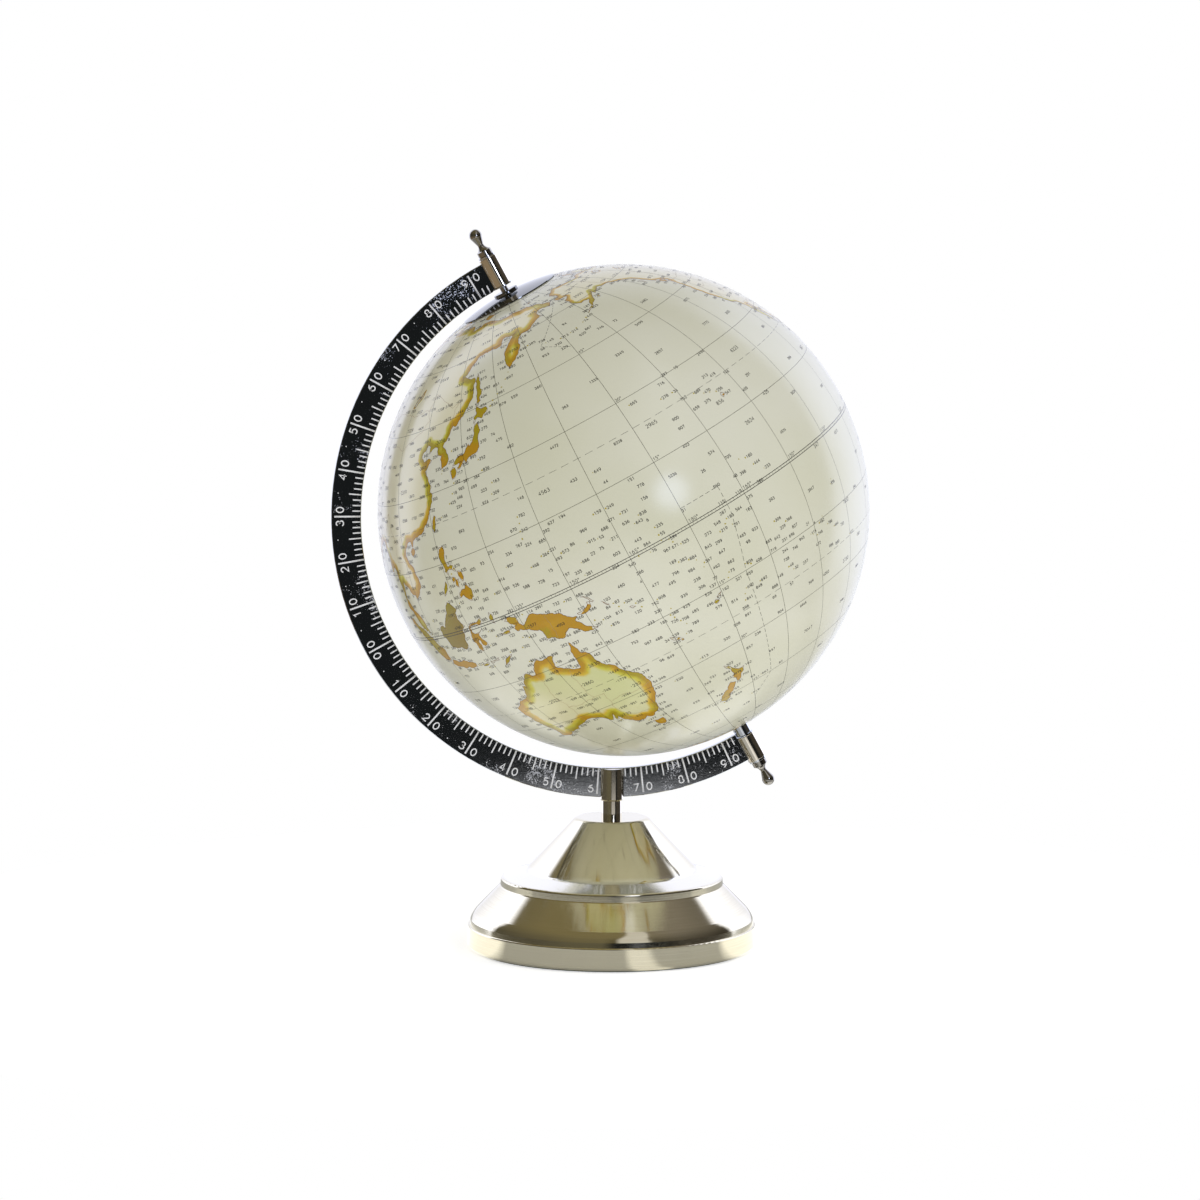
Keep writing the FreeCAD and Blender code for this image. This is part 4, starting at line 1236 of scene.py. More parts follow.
@dataclass
class PrintedBall:
    """The ball: two printed skins, and the map's lines and figures over them."""

    shop: Workshop
    hole_radius: float = 6.05 * MM
    hole_lip: float = 1.0 * MM
    box_gap: float = 0.06 * MM
    ink_lift: float = 0.03 * MM
    rows: int = 118
    columns: int = 480
    line_width: float = 0.15 * MM
    fine_width: float = 0.12 * MM
    equator_width: float = 0.24 * MM
    rung_width: float = 0.07 * MM
    coast_width: float = 0.17 * MM
    grid_step: int = 15
    grid_end: float = 82.0
    last_parallel: int = 75
    tropic: float = 23.45
    polar_circle: float = 66.55
    ladder_half: float = 0.55 * MM
    long_rung: float = 1.7
    rungs_to_long: int = 5
    circle_step: float = 3.0
    circle_dash: float = 0.62
    date_step: float = 1.6
    date_dash: float = 0.66
    open_below: float = -84.0
    figure_height: float = 1.15 * MM
    figure_stroke: float = 0.2 * MM
    letter_room: float = 0.8
    end_room: float = 0.9
    degree_above: float = 1.6 * MM
    degree_aside: float = 0.4 * MM
    equator_print: tuple[float, float] = (1.35 * MM, 0.17 * MM)
    meridian_print: tuple[float, float] = (1.2 * MM, 0.16 * MM)
    islet_size: tuple[float, float] = (0.22, 0.42)
    islet_rim: tuple[float, float] = (0.6, 1.25)
    islet_corners: int = 9
    islet_aside: float = 0.25 * MM
    islet_gap: float = 0.6
    coast_step: int = 3
    coast_aside: float = 0.35 * MM
    coast_above: float = 1.1 * MM
    coast_gap: float = 0.5
    dot_radius: float = 0.17 * MM
    dot_corners: int = 6
    open_sea: float = 3.2
    sea_gap: float = 15.0 * MM
    shore_gap: float = 0.75
    scatter_tries: int = 9000
    bare_pole: float = 0.985
    clusters: tuple[tuple[float, float, float, float, int], ...] = (
        (122, 8, 7, 6, 60), (126, -4, 9, 5, 90), (145, 12, 6, 5, 26), (157, 7, 9, 3, 40),
        (170, 5, 5, 6, 36), (176, -6, 6, 5, 40), (160, -12, 8, 5, 44), (184, -17, 8, 6, 60),
        (195, 3, 6, 5, 26), (208, -17, 8, 4, 40), (200, 23, 6, 3, 24), (184, 52, 9, 2, 30),
        (138, 33, 7, 5, 44), (152, 46, 5, 3, 24), (174, -43, 8, 4, 30), (148, -36, 9, 5, 40),
        (292, 18, 9, 5, 50), (15, 40, 16, 6, 70), (60, -8, 12, 8, 34))
    seed: int = 29

    def __post_init__(self) -> None:
        """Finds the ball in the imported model, and lays the map's frame on it."""
        centre, pole = globe_axis()
        low, high = (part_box("north_hemisphere")[end][1] for end in (0, 1))
        self.where = MapFrame(centre, pole, (high - low) / 2 - self.box_gap)
        self.chart = Chart(self.where)
        self.dice = random.Random(self.seed)
        self.taken = Occupied()
        self.longitudes = np.arange(self.columns) * 360 / self.columns
        self.shores: dict[int, Array] = {}

    def build(self) -> None:
        """Builds every piece of the ball."""
        for side, name in ((1, "north"), (-1, "south")):
            self._skin(side, name)
        self._coast_lines()
        self._border_lines()
        self._grid_lines()
        self._equator_and_circles()
        self._date_line()
        self._degree_figures()
        self._islets()
        self._soundings()

    def _print(self, sheet: Sheet, name: str, ink: Ink) -> None:
        """Makes a printed piece from a sheet."""
        place_piece(name, sheet.mesh(name), Body.GLOBE, ink)

    # -- skins
    def _drawn_rows(self, side: int) -> Array:
        """The drawn latitudes of a skin's rows, from the equator to the pole hole."""
        edge = 90 - math.degrees(math.asin(self.hole_radius / self.where.radius))
        return side * np.linspace(0, edge, self.rows + 1)

    def _skin(self, side: int, name: str) -> None:
        """Makes one half of the skin, with each point's distance from the coast.

        Args:
            side: 1 for the northern half, -1 for the southern.
            name: the half's name.
        """
        drawn = self._drawn_rows(side)
        normals = self.where.normals(self.longitudes[None, :], drawn[:, None])
        points = self.where.place(normals)
        flat = points.reshape(-1, 3)
        distance, reach = self.chart.nearest(flat / MM)
        land = np.array([self.chart.land(self.longitudes, latitude)
                         for latitude in self.where.map_latitude(drawn)])
        shore = np.where(land.ravel(), distance, -distance)
        self.shores[side] = shore.reshape(land.shape)
        lip = points[-1] - self.where.pole * side * self.hole_lip
        flat = np.vstack([flat, lip])
        shore = np.append(shore, shore[-self.columns:])
        reach = np.append(reach, reach[-self.columns:])

        mesh = bpy.data.meshes.new(f"{name}_skin")
        column = np.arange(self.columns)
        beside = (column + 1) % self.columns
        faces = []
        for row in range(self.rows + 1):
            base, above = row * self.columns, (row + 1) * self.columns
            quad = [base + column, base + beside, above + beside, above + column]
            faces.append(np.stack(quad if side > 0 else quad[::-1], axis=1))
        mesh.from_pydata(flat.tolist(), [], np.concatenate(faces).tolist())
        for label, values in (("shore", shore), ("reach", reach)):
            mesh.attributes.new(label, "FLOAT", "POINT").data.foreach_set(
                "value", values.astype(np.float32))
        self._flatten(mesh, side)
        mesh.shade_smooth()
        skin = place_piece(f"{name}_skin", mesh, Body.GLOBE, self.shop.paper)
        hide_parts(f"{name}_hemisphere")

    def _flatten(self, mesh: bpy.types.Mesh, side: int) -> None:
        """Lays a skin out as a disc round its pole, for baking.

        Args:
            mesh: the skin's mesh.
            side: 1 for the northern half, -1 for the southern.
        """
        ends = np.zeros(len(mesh.loops), np.int32)
        mesh.loops.foreach_get("vertex_index", ends)
        row, column = np.divmod(ends, self.columns)
        spread = 0.49 * (1 - row / (self.rows + 2.0))
        turn = np.radians(self.longitudes[column]) * side
        layout = np.stack([0.5 + spread * np.cos(turn), 0.5 + spread * np.sin(turn)], axis=1)
        sheet = mesh.uv_layers.new(name="OFBake")
        sheet.data.foreach_set("uv", layout.ravel().astype(np.float32))

    def shore_at(self, direction: Array) -> float:
        """How far a direction is from the coast.

        Args:
            direction: a direction from the ball's centre.

        Returns:
            The distance in millimetres, positive on land.
        """
        rise = math.degrees(math.asin(float(np.clip(direction @ self.where.pole, -1, 1))))
        turn = math.degrees(math.atan2(direction[1], direction @ level_across(self.where.pole)))
        longitude = (turn + self.where.side_longitude) % 360
        side = 1 if rise >= 0 else -1
        edge = abs(self._drawn_rows(side)[-1])
        row = min(round(abs(rise) / edge * self.rows), self.rows)
        column = round(longitude / 360 * self.columns) % self.columns
        return float(self.shores[side][row, column])

    # -- lines
    def _line(self, sheet: Sheet, longitude: Array, drawn: Array, width: float,
              closed: bool = False) -> None:
        """Adds one printed line to a sheet."""
        normals = self.where.normals(longitude, drawn)
        sheet.strip(self.where.place(normals, self.ink_lift), normals, width, closed)

    def _coast_lines(self) -> None:
        """The fine dark line along every coast."""
        sheet = Sheet()
        for outline in self.chart.outlines:
            drawn = self.where.drawn_latitude(outline.latitude)
            keep = outline.latitude > self.open_below
            if keep.all():
                self._line(sheet, outline.longitude, drawn, self.coast_width, True)
            else:
                self._line(sheet, outline.longitude[keep], drawn[keep], self.coast_width)
        self._print(sheet, "coast_lines", self.shop.coast_ink)

    def _border_lines(self) -> None:
        """The borders between states."""
        sheet = Sheet()
        for run in self.chart.borders:
            drawn = self.where.drawn_latitude(run[:, 1])
            self._line(sheet, run[:, 0], drawn, self.fine_width)
        self._print(sheet, "state_borders", self.shop.border_ink)

    def _parallel(self, sheet: Sheet, drawn: float, width: float) -> None:
        """Adds a line all round the ball at one drawn latitude."""
        turn = np.arange(360.0)
        self._line(sheet, turn, np.full(len(turn), drawn), width, True)

    def _parallels(self) -> list[int]:
        """The parallels that are drawn, without the equator."""
        return [latitude for latitude in range(-self.last_parallel, self.last_parallel + 1,
                                               self.grid_step) if latitude]

    def _grid_lines(self) -> None:
        """The meridians and the parallels."""
        sheet = Sheet()
        rise = np.arange(-self.grid_end, self.grid_end + 0.5)
        for longitude in range(0, 360, self.grid_step):
            self._line(sheet, np.full(len(rise), float(longitude)), rise, self.line_width)
        for latitude in self._parallels():
            self._parallel(sheet, self.where.drawn_latitude(latitude), self.line_width)
        self._print(sheet, "grid_lines", self.shop.line_ink)

    def _equator_and_circles(self) -> None:
        """The equator's ladder, and the dashed tropics and polar circles."""
        sheet = Sheet()
        half = self.where.angle(self.ladder_half)
        middle = self.where.drawn_latitude(0.0)
        for level in (middle - half, middle + half):
            self._parallel(sheet, level, self.equator_width)
        for degree in range(360):
            reach = half * (self.long_rung if degree % self.rungs_to_long == 0 else 1.0)
            self._line(sheet, np.full(2, float(degree)),
                       np.array([middle - half, middle + reach]), self.rung_width)
        for latitude in (self.tropic, -self.tropic, self.polar_circle, -self.polar_circle):
            drawn = self.where.drawn_latitude(latitude)
            step = self.circle_step / math.cos(math.radians(latitude))
            for start in np.arange(0, 360 - step / 2, 360 / round(360 / step)):
                run = np.linspace(start, start + step * self.circle_dash, 3)
                self._line(sheet, run, np.full(3, drawn), self.fine_width)
        self._print(sheet, "equator_ladder", self.shop.figure_ink)

    def _date_line(self) -> None:
        """The line where the date changes, in short dashes."""
        corners = read_pairs("180 78, 180 75, 191 65.6, 170.5 52.5, 180 48, 180 4, 190 4, 190 -2,"
                             "187.5 -15, 187.5 -45, 180 -51.5, 180 -80")
        sheet = Sheet()
        for first, second in zip(corners, corners[1:]):
            gap = float(np.hypot(*(second - first)))
            dashes = max(1, round(gap / self.date_step))
            for number in range(dashes):
                ends = np.linspace(number, number + self.date_dash, 3) / dashes
                run = first + (second - first) * ends[:, None]
                self._line(sheet, run[:, 0], self.where.drawn_latitude(run[:, 1]),
                           self.line_width)
        self._print(sheet, "date_line", self.shop.figure_ink)

    # -- figures
    def _write(self, sheet: Sheet, text: str, centre: Array, height: float,
               stroke: float) -> None:
        """Writes figures along a parallel, centred on a direction.

        Args:
            sheet: the sheet that gathers the piece.
            text: the figures.
            centre: the middle's direction from the ball's centre.
            height: the figures' height in metres.
            stroke: the strokes' width in metres.
        """
        north, east = self.where.compass(centre)
        advance = FIGURE_WIDTH + LETTER_GAP
        start = -(advance * len(text) - LETTER_GAP) / 2
        for place, letter in enumerate(text):
            for points, closed in FIGURES[letter]:
                flat = np.array(points)
                right = (flat[:, 0] + start + place * advance) * height / self.where.radius
                up = (flat[:, 1] - 0.5) * height / self.where.radius
                normals = unit(centre + right[:, None] * east + up[:, None] * north)
                sheet.strip(self.where.place(normals, self.ink_lift), normals, stroke, closed)

    def _room(self, text: str, height: float) -> float:
        """The room that figures need, in radians."""
        wide = len(text) * (FIGURE_WIDTH + LETTER_GAP) * self.letter_room + self.end_room
        return wide * height / self.where.radius

    def _degrees(self, sheet: Sheet, number: int, direction: Array, places: int,
                 height: float, stroke: float) -> None:
        """Writes a number of degrees, and keeps other figures off it."""
        self.taken.take(direction, self._room("0" * places, 1.4 * MM))
        self._write(sheet, f"{number}o", direction, height, stroke)

    def _degree_figures(self) -> None:
        """Degree numbers along the equator and up four meridians."""
        sheet = Sheet()
        above = self.where.angle(self.degree_above)
        level = self.where.drawn_latitude(0.0) + above
        for longitude in range(0, 360, self.grid_step):
            shown = longitude if longitude <= 180 else 360 - longitude
            aside = self.where.angle(self.degree_aside * len(f"{shown}o")) + 0.7
            direction = self.where.normals(longitude + aside, level)
            self._degrees(sheet, shown, direction, 3, *self.equator_print)
        for longitude in (0, 90, 180, 270):
            for latitude in self._parallels():
                drawn = self.where.drawn_latitude(latitude) + above * 0.7
                aside = 1.1 / math.cos(math.radians(latitude))
                direction = self.where.normals(longitude + aside, drawn)
                self._degrees(sheet, abs(latitude), direction, 2, *self.meridian_print)
        self._print(sheet, "degree_figures", self.shop.figure_ink)

    def _spot(self, sheet: Sheet, centre: Array, sizes: Array,
              compass: tuple[Array, Array]) -> None:
        """Adds a small filled spot.

        Args:
            sheet: the sheet that gathers the piece.
            centre: the spot's middle.
            sizes: how far its rim lies from there, in radians, anticlockwise from east.
            compass: north and east.
        """
        north, east = compass
        turns = np.radians(np.arange(len(sizes)) * (360 / len(sizes)))
        rim = unit(centre + (sizes * np.cos(turns))[:, None] * east
                   + (sizes * np.sin(turns))[:, None] * north)
        sheet.patch(self.where.place(rim, self.ink_lift), self.where.place(centre, self.ink_lift))

    def _small_figure(self, sheet: Sheet, text: str, direction: Array, room: float) -> None:
        """Writes a small figure where there is room for it."""
        if self.taken.take(direction, room):
            self._write(sheet, text, direction, self.figure_height, self.figure_stroke)

    def _islets(self) -> None:
        """Small islands: uneven spots, each with a figure beside it."""
        spots, figures = Sheet(), Sheet()
        for longitude, latitude in read_pairs(ISLETS):
            centre = self.where.toward(longitude, latitude)
            compass = self.where.compass(centre)
            size = self.dice.uniform(*self.islet_size) * MM / self.where.radius
            sizes = np.array([size * self.dice.uniform(*self.islet_rim)
                              for _ in range(self.islet_corners)])
            self._spot(spots, centre, sizes, compass)
            text = str(self.dice.randint(12, 940))
            room = self._room(text, self.figure_height)
            aside = room / 2 + self.islet_aside / self.where.radius
            side = unit(centre + compass[1] * aside)
            if self.shore_at(side) < -self.islet_gap:
                self._small_figure(figures, text, side, room)
        self._print(spots, "islet_spots", self.shop.gold_ink)
        self._print(figures, "islet_figures", self.shop.figure_ink)

    def _soundings(self) -> None:
        """Depths along the coasts and over the sea, and heights with a dot inland."""
        figures, dots = Sheet(), Sheet()
        for outline in self.chart.outlines:
            self._coast_figures(outline, figures)
        for longitude, latitude, wide, high, tries in self.clusters:
            for _ in range(tries):
                north, east = self.dice.gauss(0, high), self.dice.gauss(0, wide)
                direction = self.where.toward(longitude + east, latitude + north)
                text = str(self.dice.randint(2, 990))
                room = self._room(text, self.figure_height)
                if self.shore_at(direction) < -self.shore_gap:
                    self._small_figure(figures, text, direction, room)
        for _ in range(self.scatter_tries):
            height = self.figure_height * self.dice.choice((0.9, 1.0, 1.0, 1.25))
            direction = unit(np.array([self.dice.gauss(0, 1) for _ in range(3)]))
            if abs(direction @ self.where.pole) > self.bare_pole:
                continue
            shore = self.shore_at(direction)
            text = str(self.dice.randint(2, 8900) if shore < 0 else self.dice.randint(40, 4800))
            room = self._room(text, height)
            at_open_sea = shore < -self.open_sea
            spread = self.sea_gap / self.where.radius if at_open_sea else room * 1.12
            if abs(shore) < self.shore_gap or not self.taken.take(direction, spread):
                continue
            self._write(figures, text, direction, height, self.figure_stroke)
            if shore > 0:
                self._dot(dots, direction, room)
        self._print(figures, "soundings", self.shop.figure_ink)
        self._print(dots, "height_dots", self.shop.figure_ink)

    def _coast_figures(self, outline: Outline, figures: Sheet) -> None:
        """Writes depths on the sea side of one coast.

        Args:
            outline: the coast.
            figures: the sheet that gathers the figures.
        """
        normals = self.where.toward(outline.longitude, outline.latitude)
        for number in range(0, len(normals), self.coast_step):
            text = str(self.dice.randint(3, 980))
            room = self._room(text, self.figure_height)
            centre = normals[number]
            north, east = self.where.compass(centre)
            aside = room / 2 + self.coast_aside / self.where.radius
            above = self.coast_above / self.where.radius
            for right, up in ((aside, 0.0), (-aside, 0.0), (0.0, above), (0.0, -above)):
                place = unit(centre + right * east + up * north)
                edges = [unit(place + share * room * 0.5 * east) for share in (-0.8, 0, 0.8)]
                if max(self.shore_at(edge) for edge in edges) <= -self.coast_gap:
                    self._small_figure(figures, text, place, room * 0.94)
                    break

    def _dot(self, dots: Sheet, direction: Array, room: float) -> None:
        """Adds the round dot that marks a height, left of its figures.

        Args:
            dots: the sheet that gathers the dots.
            direction: the middle of the figures.
            room: the figures' room, in radians.
        """
        compass = self.where.compass(direction)
        centre = unit(direction - compass[1] * room * 0.56)
        sizes = np.full(self.dot_corners, self.dot_radius / self.where.radius)
        self._spot(dots, centre, sizes, compass)


# ---------------------------------------------------------------- the stand
FIT_ROUNDS = 40
RIM_DEPTH = 3 * MM


@dataclass
class RingScale:
    """The engraved scale on the half-ring's front face: 90-0-90, with its marks and dots."""

    shop: Workshop
    unit_angle: float = 9.63
    steps: int = 8
    short_mark: float = 3.6 * MM
    middle_mark: float = 5.4 * MM
    long_mark: float = 11.0 * MM
    mark_width: float = 0.56 * MM
    long_width: float = 0.7 * MM
    figure_height: float = 3.5 * MM
    figure_width: float = 2.75 * MM
    figure_stroke: float = 0.5 * MM
    figure_centre: float = 8.7 * MM
    figure_aside: float = 2.75 * MM
    dot_radius: float = 0.24 * MM
    dot_inset: float = 2.4 * MM
    edge_gap: float = 0.3 * MM
    proud: float = 0.03 * MM

    def __post_init__(self) -> None:
        """Finds the half-ring's centre, its inner edge and its front face."""
        self.north = globe_axis()[1]
        self.across = level_across(self.north)
        points = np.array([vertex.co for vertex in frame["nodes"]["meridian_arc"].data.vertices])
        self.centre, self.inner, self.outer = self._fit(points)
        self.front = points[:, 1].min() - self.proud

    @staticmethod
    def _fit(points: Array) -> tuple[Array, float, float]:
        """The centre and the two radii of the bar, from its points.

        Args:
            points: the bar's vertices.

        Returns:
            The centre, the inner radius and the outer radius.
        """
        flat = points[:, [0, 2]]
        guess = flat.mean(axis=0)
        for _ in range(FIT_ROUNDS):
            reach = np.linalg.norm(flat - guess, axis=1)
            rim = flat[reach > reach.max() - RIM_DEPTH]
            rows = np.column_stack([2 * rim, np.ones(len(rim))])
            fit = np.linalg.lstsq(rows, (rim ** 2).sum(axis=1), rcond=None)[0]
            guess = fit[:2]
        reach = np.linalg.norm(flat - guess, axis=1)
        return np.array([guess[0], 0.0, guess[1]]), reach.min(), reach.max()

    def build(self) -> None:
        """Cuts the marks, the dots and the figures."""
        self._marks()
        self._dots()
        self._figures()

    def _outward(self, count: float) -> Array:
        """The direction from the ring's centre at a count of tens, north positive."""
        turn = math.radians(self.unit_angle * count)
        return -self.across * math.cos(turn) + self.north * math.sin(turn)

    def _at(self, count: float, radius: float) -> Array:
        """A point of the front face.

        Args:
            count: how many tens from the ring's middle, north positive.
            radius: its distance from the ring's centre.

        Returns:
            The point.
        """
        point = self.centre + self._outward(count) * radius
        point[1] = self.front
        return point

    def _solid(self, sheet: Sheet, name: str) -> None:
        """Makes a low solid piece from flat shapes.

        Args:
            sheet: the sheet that gathered the shapes.
            name: the piece's name.
        """
        piece = place_piece(name, sheet.mesh(name), Body.STAND, self.shop.scribed)
        thick = piece.modifiers.new("thickness", "SOLIDIFY")
        thick.thickness = self.proud * 2
        thick.offset = -1.0

    def _marks(self) -> None:
        """The marks, all from the inner edge."""
        sheet = Sheet()
        last = 9 * self.steps + 2
        for number in range(-last, last + 1):
            if number % self.steps == 0 and abs(number) <= 9 * self.steps:
                reach, width = self.long_mark, self.long_width
            elif number % self.steps == self.steps // 2 and abs(number) < 9 * self.steps:
                reach, width = self.middle_mark, self.mark_width
            else:
                reach, width = self.short_mark, self.mark_width
            run = np.array([self._at(number / self.steps, self.inner + end)
                            for end in (self.edge_gap, reach)])
            sheet.strip(run, self._face(2), width)
        self._solid(sheet, "scale_marks")

    @staticmethod
    def _face(count: int) -> Array:
        """The front face's normal, once per point."""
        return np.tile([0.0, -1.0, 0.0], (count, 1))

    def _dots(self) -> None:
        """A small dot between each two long marks."""
        sheet = Sheet()
        for half in range(-9, 9):
            centre = self._at(half + 0.5, self.outer - self.dot_inset)
            turns = np.radians(np.arange(0, 360, 30.0))
            rim = centre + self.dot_radius * np.column_stack(
                [np.cos(turns), np.zeros(len(turns)), np.sin(turns)])
            sheet.patch(rim, centre)
        self._solid(sheet, "scale_dots")

    def _figures(self) -> None:
        """The tens and their noughts, either side of each long mark."""
        sheet = Sheet()
        for tens in range(10):
            for side in (1, -1):
                if tens:
                    self._figure(sheet, str(tens), side, tens, -1)
                self._figure(sheet, "0", side, tens, 1)
        self._solid(sheet, "scale_figures")

    def _figure(self, sheet: Sheet, letter: str, side: int, tens: int, place: int) -> None:
        """Cuts one figure beside a long mark.

        Args:
            sheet: the sheet that gathers the figures.
            letter: the figure.
            side: 1 on the northern half, -1 on the southern.
            tens: which long mark.
            place: -1 before the mark as it reads, 1 after it.
        """
        outward = self._outward(side * tens)
        along = np.array([outward[2], 0.0, -outward[0]])
        up, right = (outward, along) if side > 0 else (-outward, -along)
        middle = self._at(side * tens, self.inner + self.figure_centre)
        middle = middle + right * place * self.figure_aside
        for points, closed in FIGURES[letter]:
            flat = np.array(points)
            wide = (flat[:, 0] / FIGURE_WIDTH - 0.5) * (self.figure_width - self.figure_stroke)
            high = (flat[:, 1] - 0.5) * (self.figure_height - self.figure_stroke)
            run = middle + wide[:, None] * right + high[:, None] * up
            sheet.strip(run, self._face(len(run)), self.figure_stroke, closed)


class Stand:
    """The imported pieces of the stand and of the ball's fittings, each in its finish."""

    def __init__(self, shop: Workshop) -> None:
        """Lists each finish's nodes.

        Args:
            shop: the workshop that holds the finishes.
        """
        self.shop = shop
        self.finishes: list[tuple[Finish, tuple[str, ...]]] = [
            (shop.chrome, ("meridian_arc", "south_collar", "north_thrust_washer",
                           "south_thrust_washer", "north_end_washer", "south_end_washer")),
            (shop.dark_chrome, ("north_dish",)),
            (shop.dark_nickel, ("north_finial", "south_finial")),
            (shop.nickel, ("north_sleeve", "south_sleeve", "stem_post", "stem_tube")),
            (shop.foot, ("foot_shell",)),
            (shop.steel, ("axle_rod", "clamp_washer", "lock_washer", "clamp_nut")),
            (shop.iron, ("ballast_ring",)),
            (shop.board, ("bottom_board",)),
            (shop.felt, ("felt_pad",)),
            (shop.plastic, ("north_hemisphere", "south_hemisphere", "equator_band",
                            "north_bush", "south_bush")),
        ]

    def build(self) -> None:
        """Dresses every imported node."""
        for finish, nodes in self.finishes:
            for node in nodes:
                self.shop.dress(node, finish)


# ---------------------------------------------------------------- the studio
@dataclass
class Studio:
    """The pale floor, the soft light and the camera."""

    camera_azimuth: float = -8.5
    camera_height: float = 6.0
    camera_distance: float = 1.737
    look_at: tuple[float, float, float] = (-0.0049, 0.0, 0.145)
    lens: float = 126.0
    clip_start: float = 0.05
    floor_radius: float = 0.33
    floor_drop: float = 0.0002
    lamp_azimuth: float = 13.0
    lamp_height: float = 12.4
    lamp_distance: float = 1.6
    lamp_aim: tuple[float, float, float] = (0.0, 0.0, 0.18)
    lamp_size: float = 0.42
    lamp_radiance: float = 6.0
    lamp_colour: tuple[float, float, float] = (0.84, 0.94, 1.26)
    floor_paint: Tone = (0.92, 0.92, 0.92, 1.0)
    # painted shade: the floor's darker colour as glossy rays see it
    floor_mirrored: Tone = (0.78, 0.79, 0.8, 1.0)
    floor_shown: float = 0.5
    # painted bounce light: how much the floor glows for diffuse rays
    floor_bounce: float = 0.4
    streak_glow: float = 0.5
    beside_glow: float = 0.97
    streak_white: Tone = (0.74, 0.73, 0.73, 1.0)
    panel_white: Tone = (1.75, 1.84, 2.3, 1.0)
    ambient_key: tuple[float, float] = (38.0, -25.0)
    ambient: tuple[float, float] = (0.54, 1.14)
    ceiling: float = 0.8

    def build(self) -> None:
        """Builds the floor, the light and the camera."""
        self._floor()
        self._lamp()
        self._world()
        self._camera()
        bpy.context.scene.view_settings.view_transform = "Standard"

    @staticmethod
    def _toward(azimuth: float, height: float) -> Vector:
        """A direction from the object."""
        turn, rise = math.radians(azimuth), math.radians(height)
        return Vector((math.sin(turn) * math.cos(rise), -math.cos(turn) * math.cos(rise),
                       math.sin(rise)))

    def _floor(self) -> None:
        """A pale round floor that keeps the foot's shadow. Emission lifts it to white for the camera; for
        diffuse rays it adds painted bounce light, and glossy rays see it in a darker colour as painted
        shade, with a painted reflection on it.
        """
        turns = np.radians(np.arange(0, 360, 4.0))
        rim = np.column_stack([np.cos(turns), np.sin(turns), np.zeros(len(turns))])
        mesh = bpy.data.meshes.new("studio_floor")
        mesh.from_pydata((rim * self.floor_radius).tolist(), [], [tuple(range(len(turns)))])
        material = bpy.data.materials.new("studio_floor")
        n = Nodes.of(material)
        path = n.add("LightPath").outputs
        # Painted shade: glossy rays see the floor darker than the lamps light it.
        paint = n.add("BsdfDiffuse", {"Color": n.mix(
            path["Is Glossy Ray"], self.floor_paint, self.floor_mirrored)})
        glow = n.math("MULTIPLY_ADD", path["Is Camera Ray"], self.floor_shown,
                      self._floor_glow(n))
        # Painted bounce light: the floor glows for diffuse rays, lighting the ball from below.
        glow = n.math("MULTIPLY_ADD", path["Is Diffuse Ray"], self.floor_bounce, glow)
        lift = n.add("Emission", {"Strength": glow})
        both = n.add("AddShader", {0: paint.outputs[0], 1: lift.outputs[0]})
        n.add("OutputMaterial", {"Surface": both.outputs[0]})
        mesh.materials.append(material)
        floor = into_scene("studio_floor", mesh)
        floor.location.z = -self.floor_drop

    def _bearing(self, n: Nodes, place: object) -> tuple[Socket, object, Socket]:
        """Turns a place or a direction to the camera's side.

        Args:
            n: the nodes.
            place: the place or the direction.

        Returns:
            It turned, its three axes, and its degrees to the right of the camera's side.
        """
        turned = n.add("Mapping", {0: place, 2: (0, 0, math.radians(-self.camera_azimuth))},
                       vector_type="VECTOR").outputs[0]
        axes = n.add("SeparateXYZ", {0: turned}).outputs
        turn = n.math("ARCTAN2", axes[0], n.times(axes[1], -1.0))
        return turned, axes, n.times(turn, DEGREES)

    def _floor_glow(self, n: Nodes) -> Socket:
        """Painted reflection on the floor, for the metal only: a bright streak in front, white beside the
        foot.

        Args:
            n: the floor's nodes.

        Returns:
            How brightly it glows.
        """
        # Painted reflection: the lamp's streak and the pale wall, as a glow that only glossy rays see.
        mirror = n.add("LightPath").outputs["Is Glossy Ray"]
        turned, axes, angle = self._bearing(n, n.object_place())
        streak = n.times(self._window(n, angle, 11.0, 22.0, 4.0), self.streak_glow)
        far = n.add("VectorMath", {0: turned}, operation="LENGTH").outputs["Value"]
        aside = n.ramp(n.math("ABSOLUTE", axes[0]), 0.04, 0.05, 0.0, self.beside_glow)
        beside = n.times(self._window(n, axes[1], -0.026, 0.06, 0.012), aside)
        beside = n.times(beside, n.ramp(far, 0.12, 0.16, 1.0, 0.3))
        return n.times(mirror, n.math("ADD", streak, beside))

    @staticmethod
    def _aim(thing: bpy.types.Object, centre: Vector, toward: Vector, distance: float) -> None:
        """Sets a lamp or the camera off from a centre, looking at it."""
        thing.location = centre + toward * distance
        thing.rotation_euler = (-toward).to_track_quat("-Z", "Y").to_euler()

    def _lamp(self) -> None:
        """One round lamp in front, to the right."""
        light = bpy.data.lights.new("round_lamp", "AREA")
        light.shape = "DISK"
        light.size = self.lamp_size
        light.color = self.lamp_colour
        light.energy = self.lamp_radiance * math.pi * math.pi * (light.size / 2) ** 2
        self._aim(into_scene("round_lamp", light), Vector(self.lamp_aim),
                  self._toward(self.lamp_azimuth, self.lamp_height), self.lamp_distance)

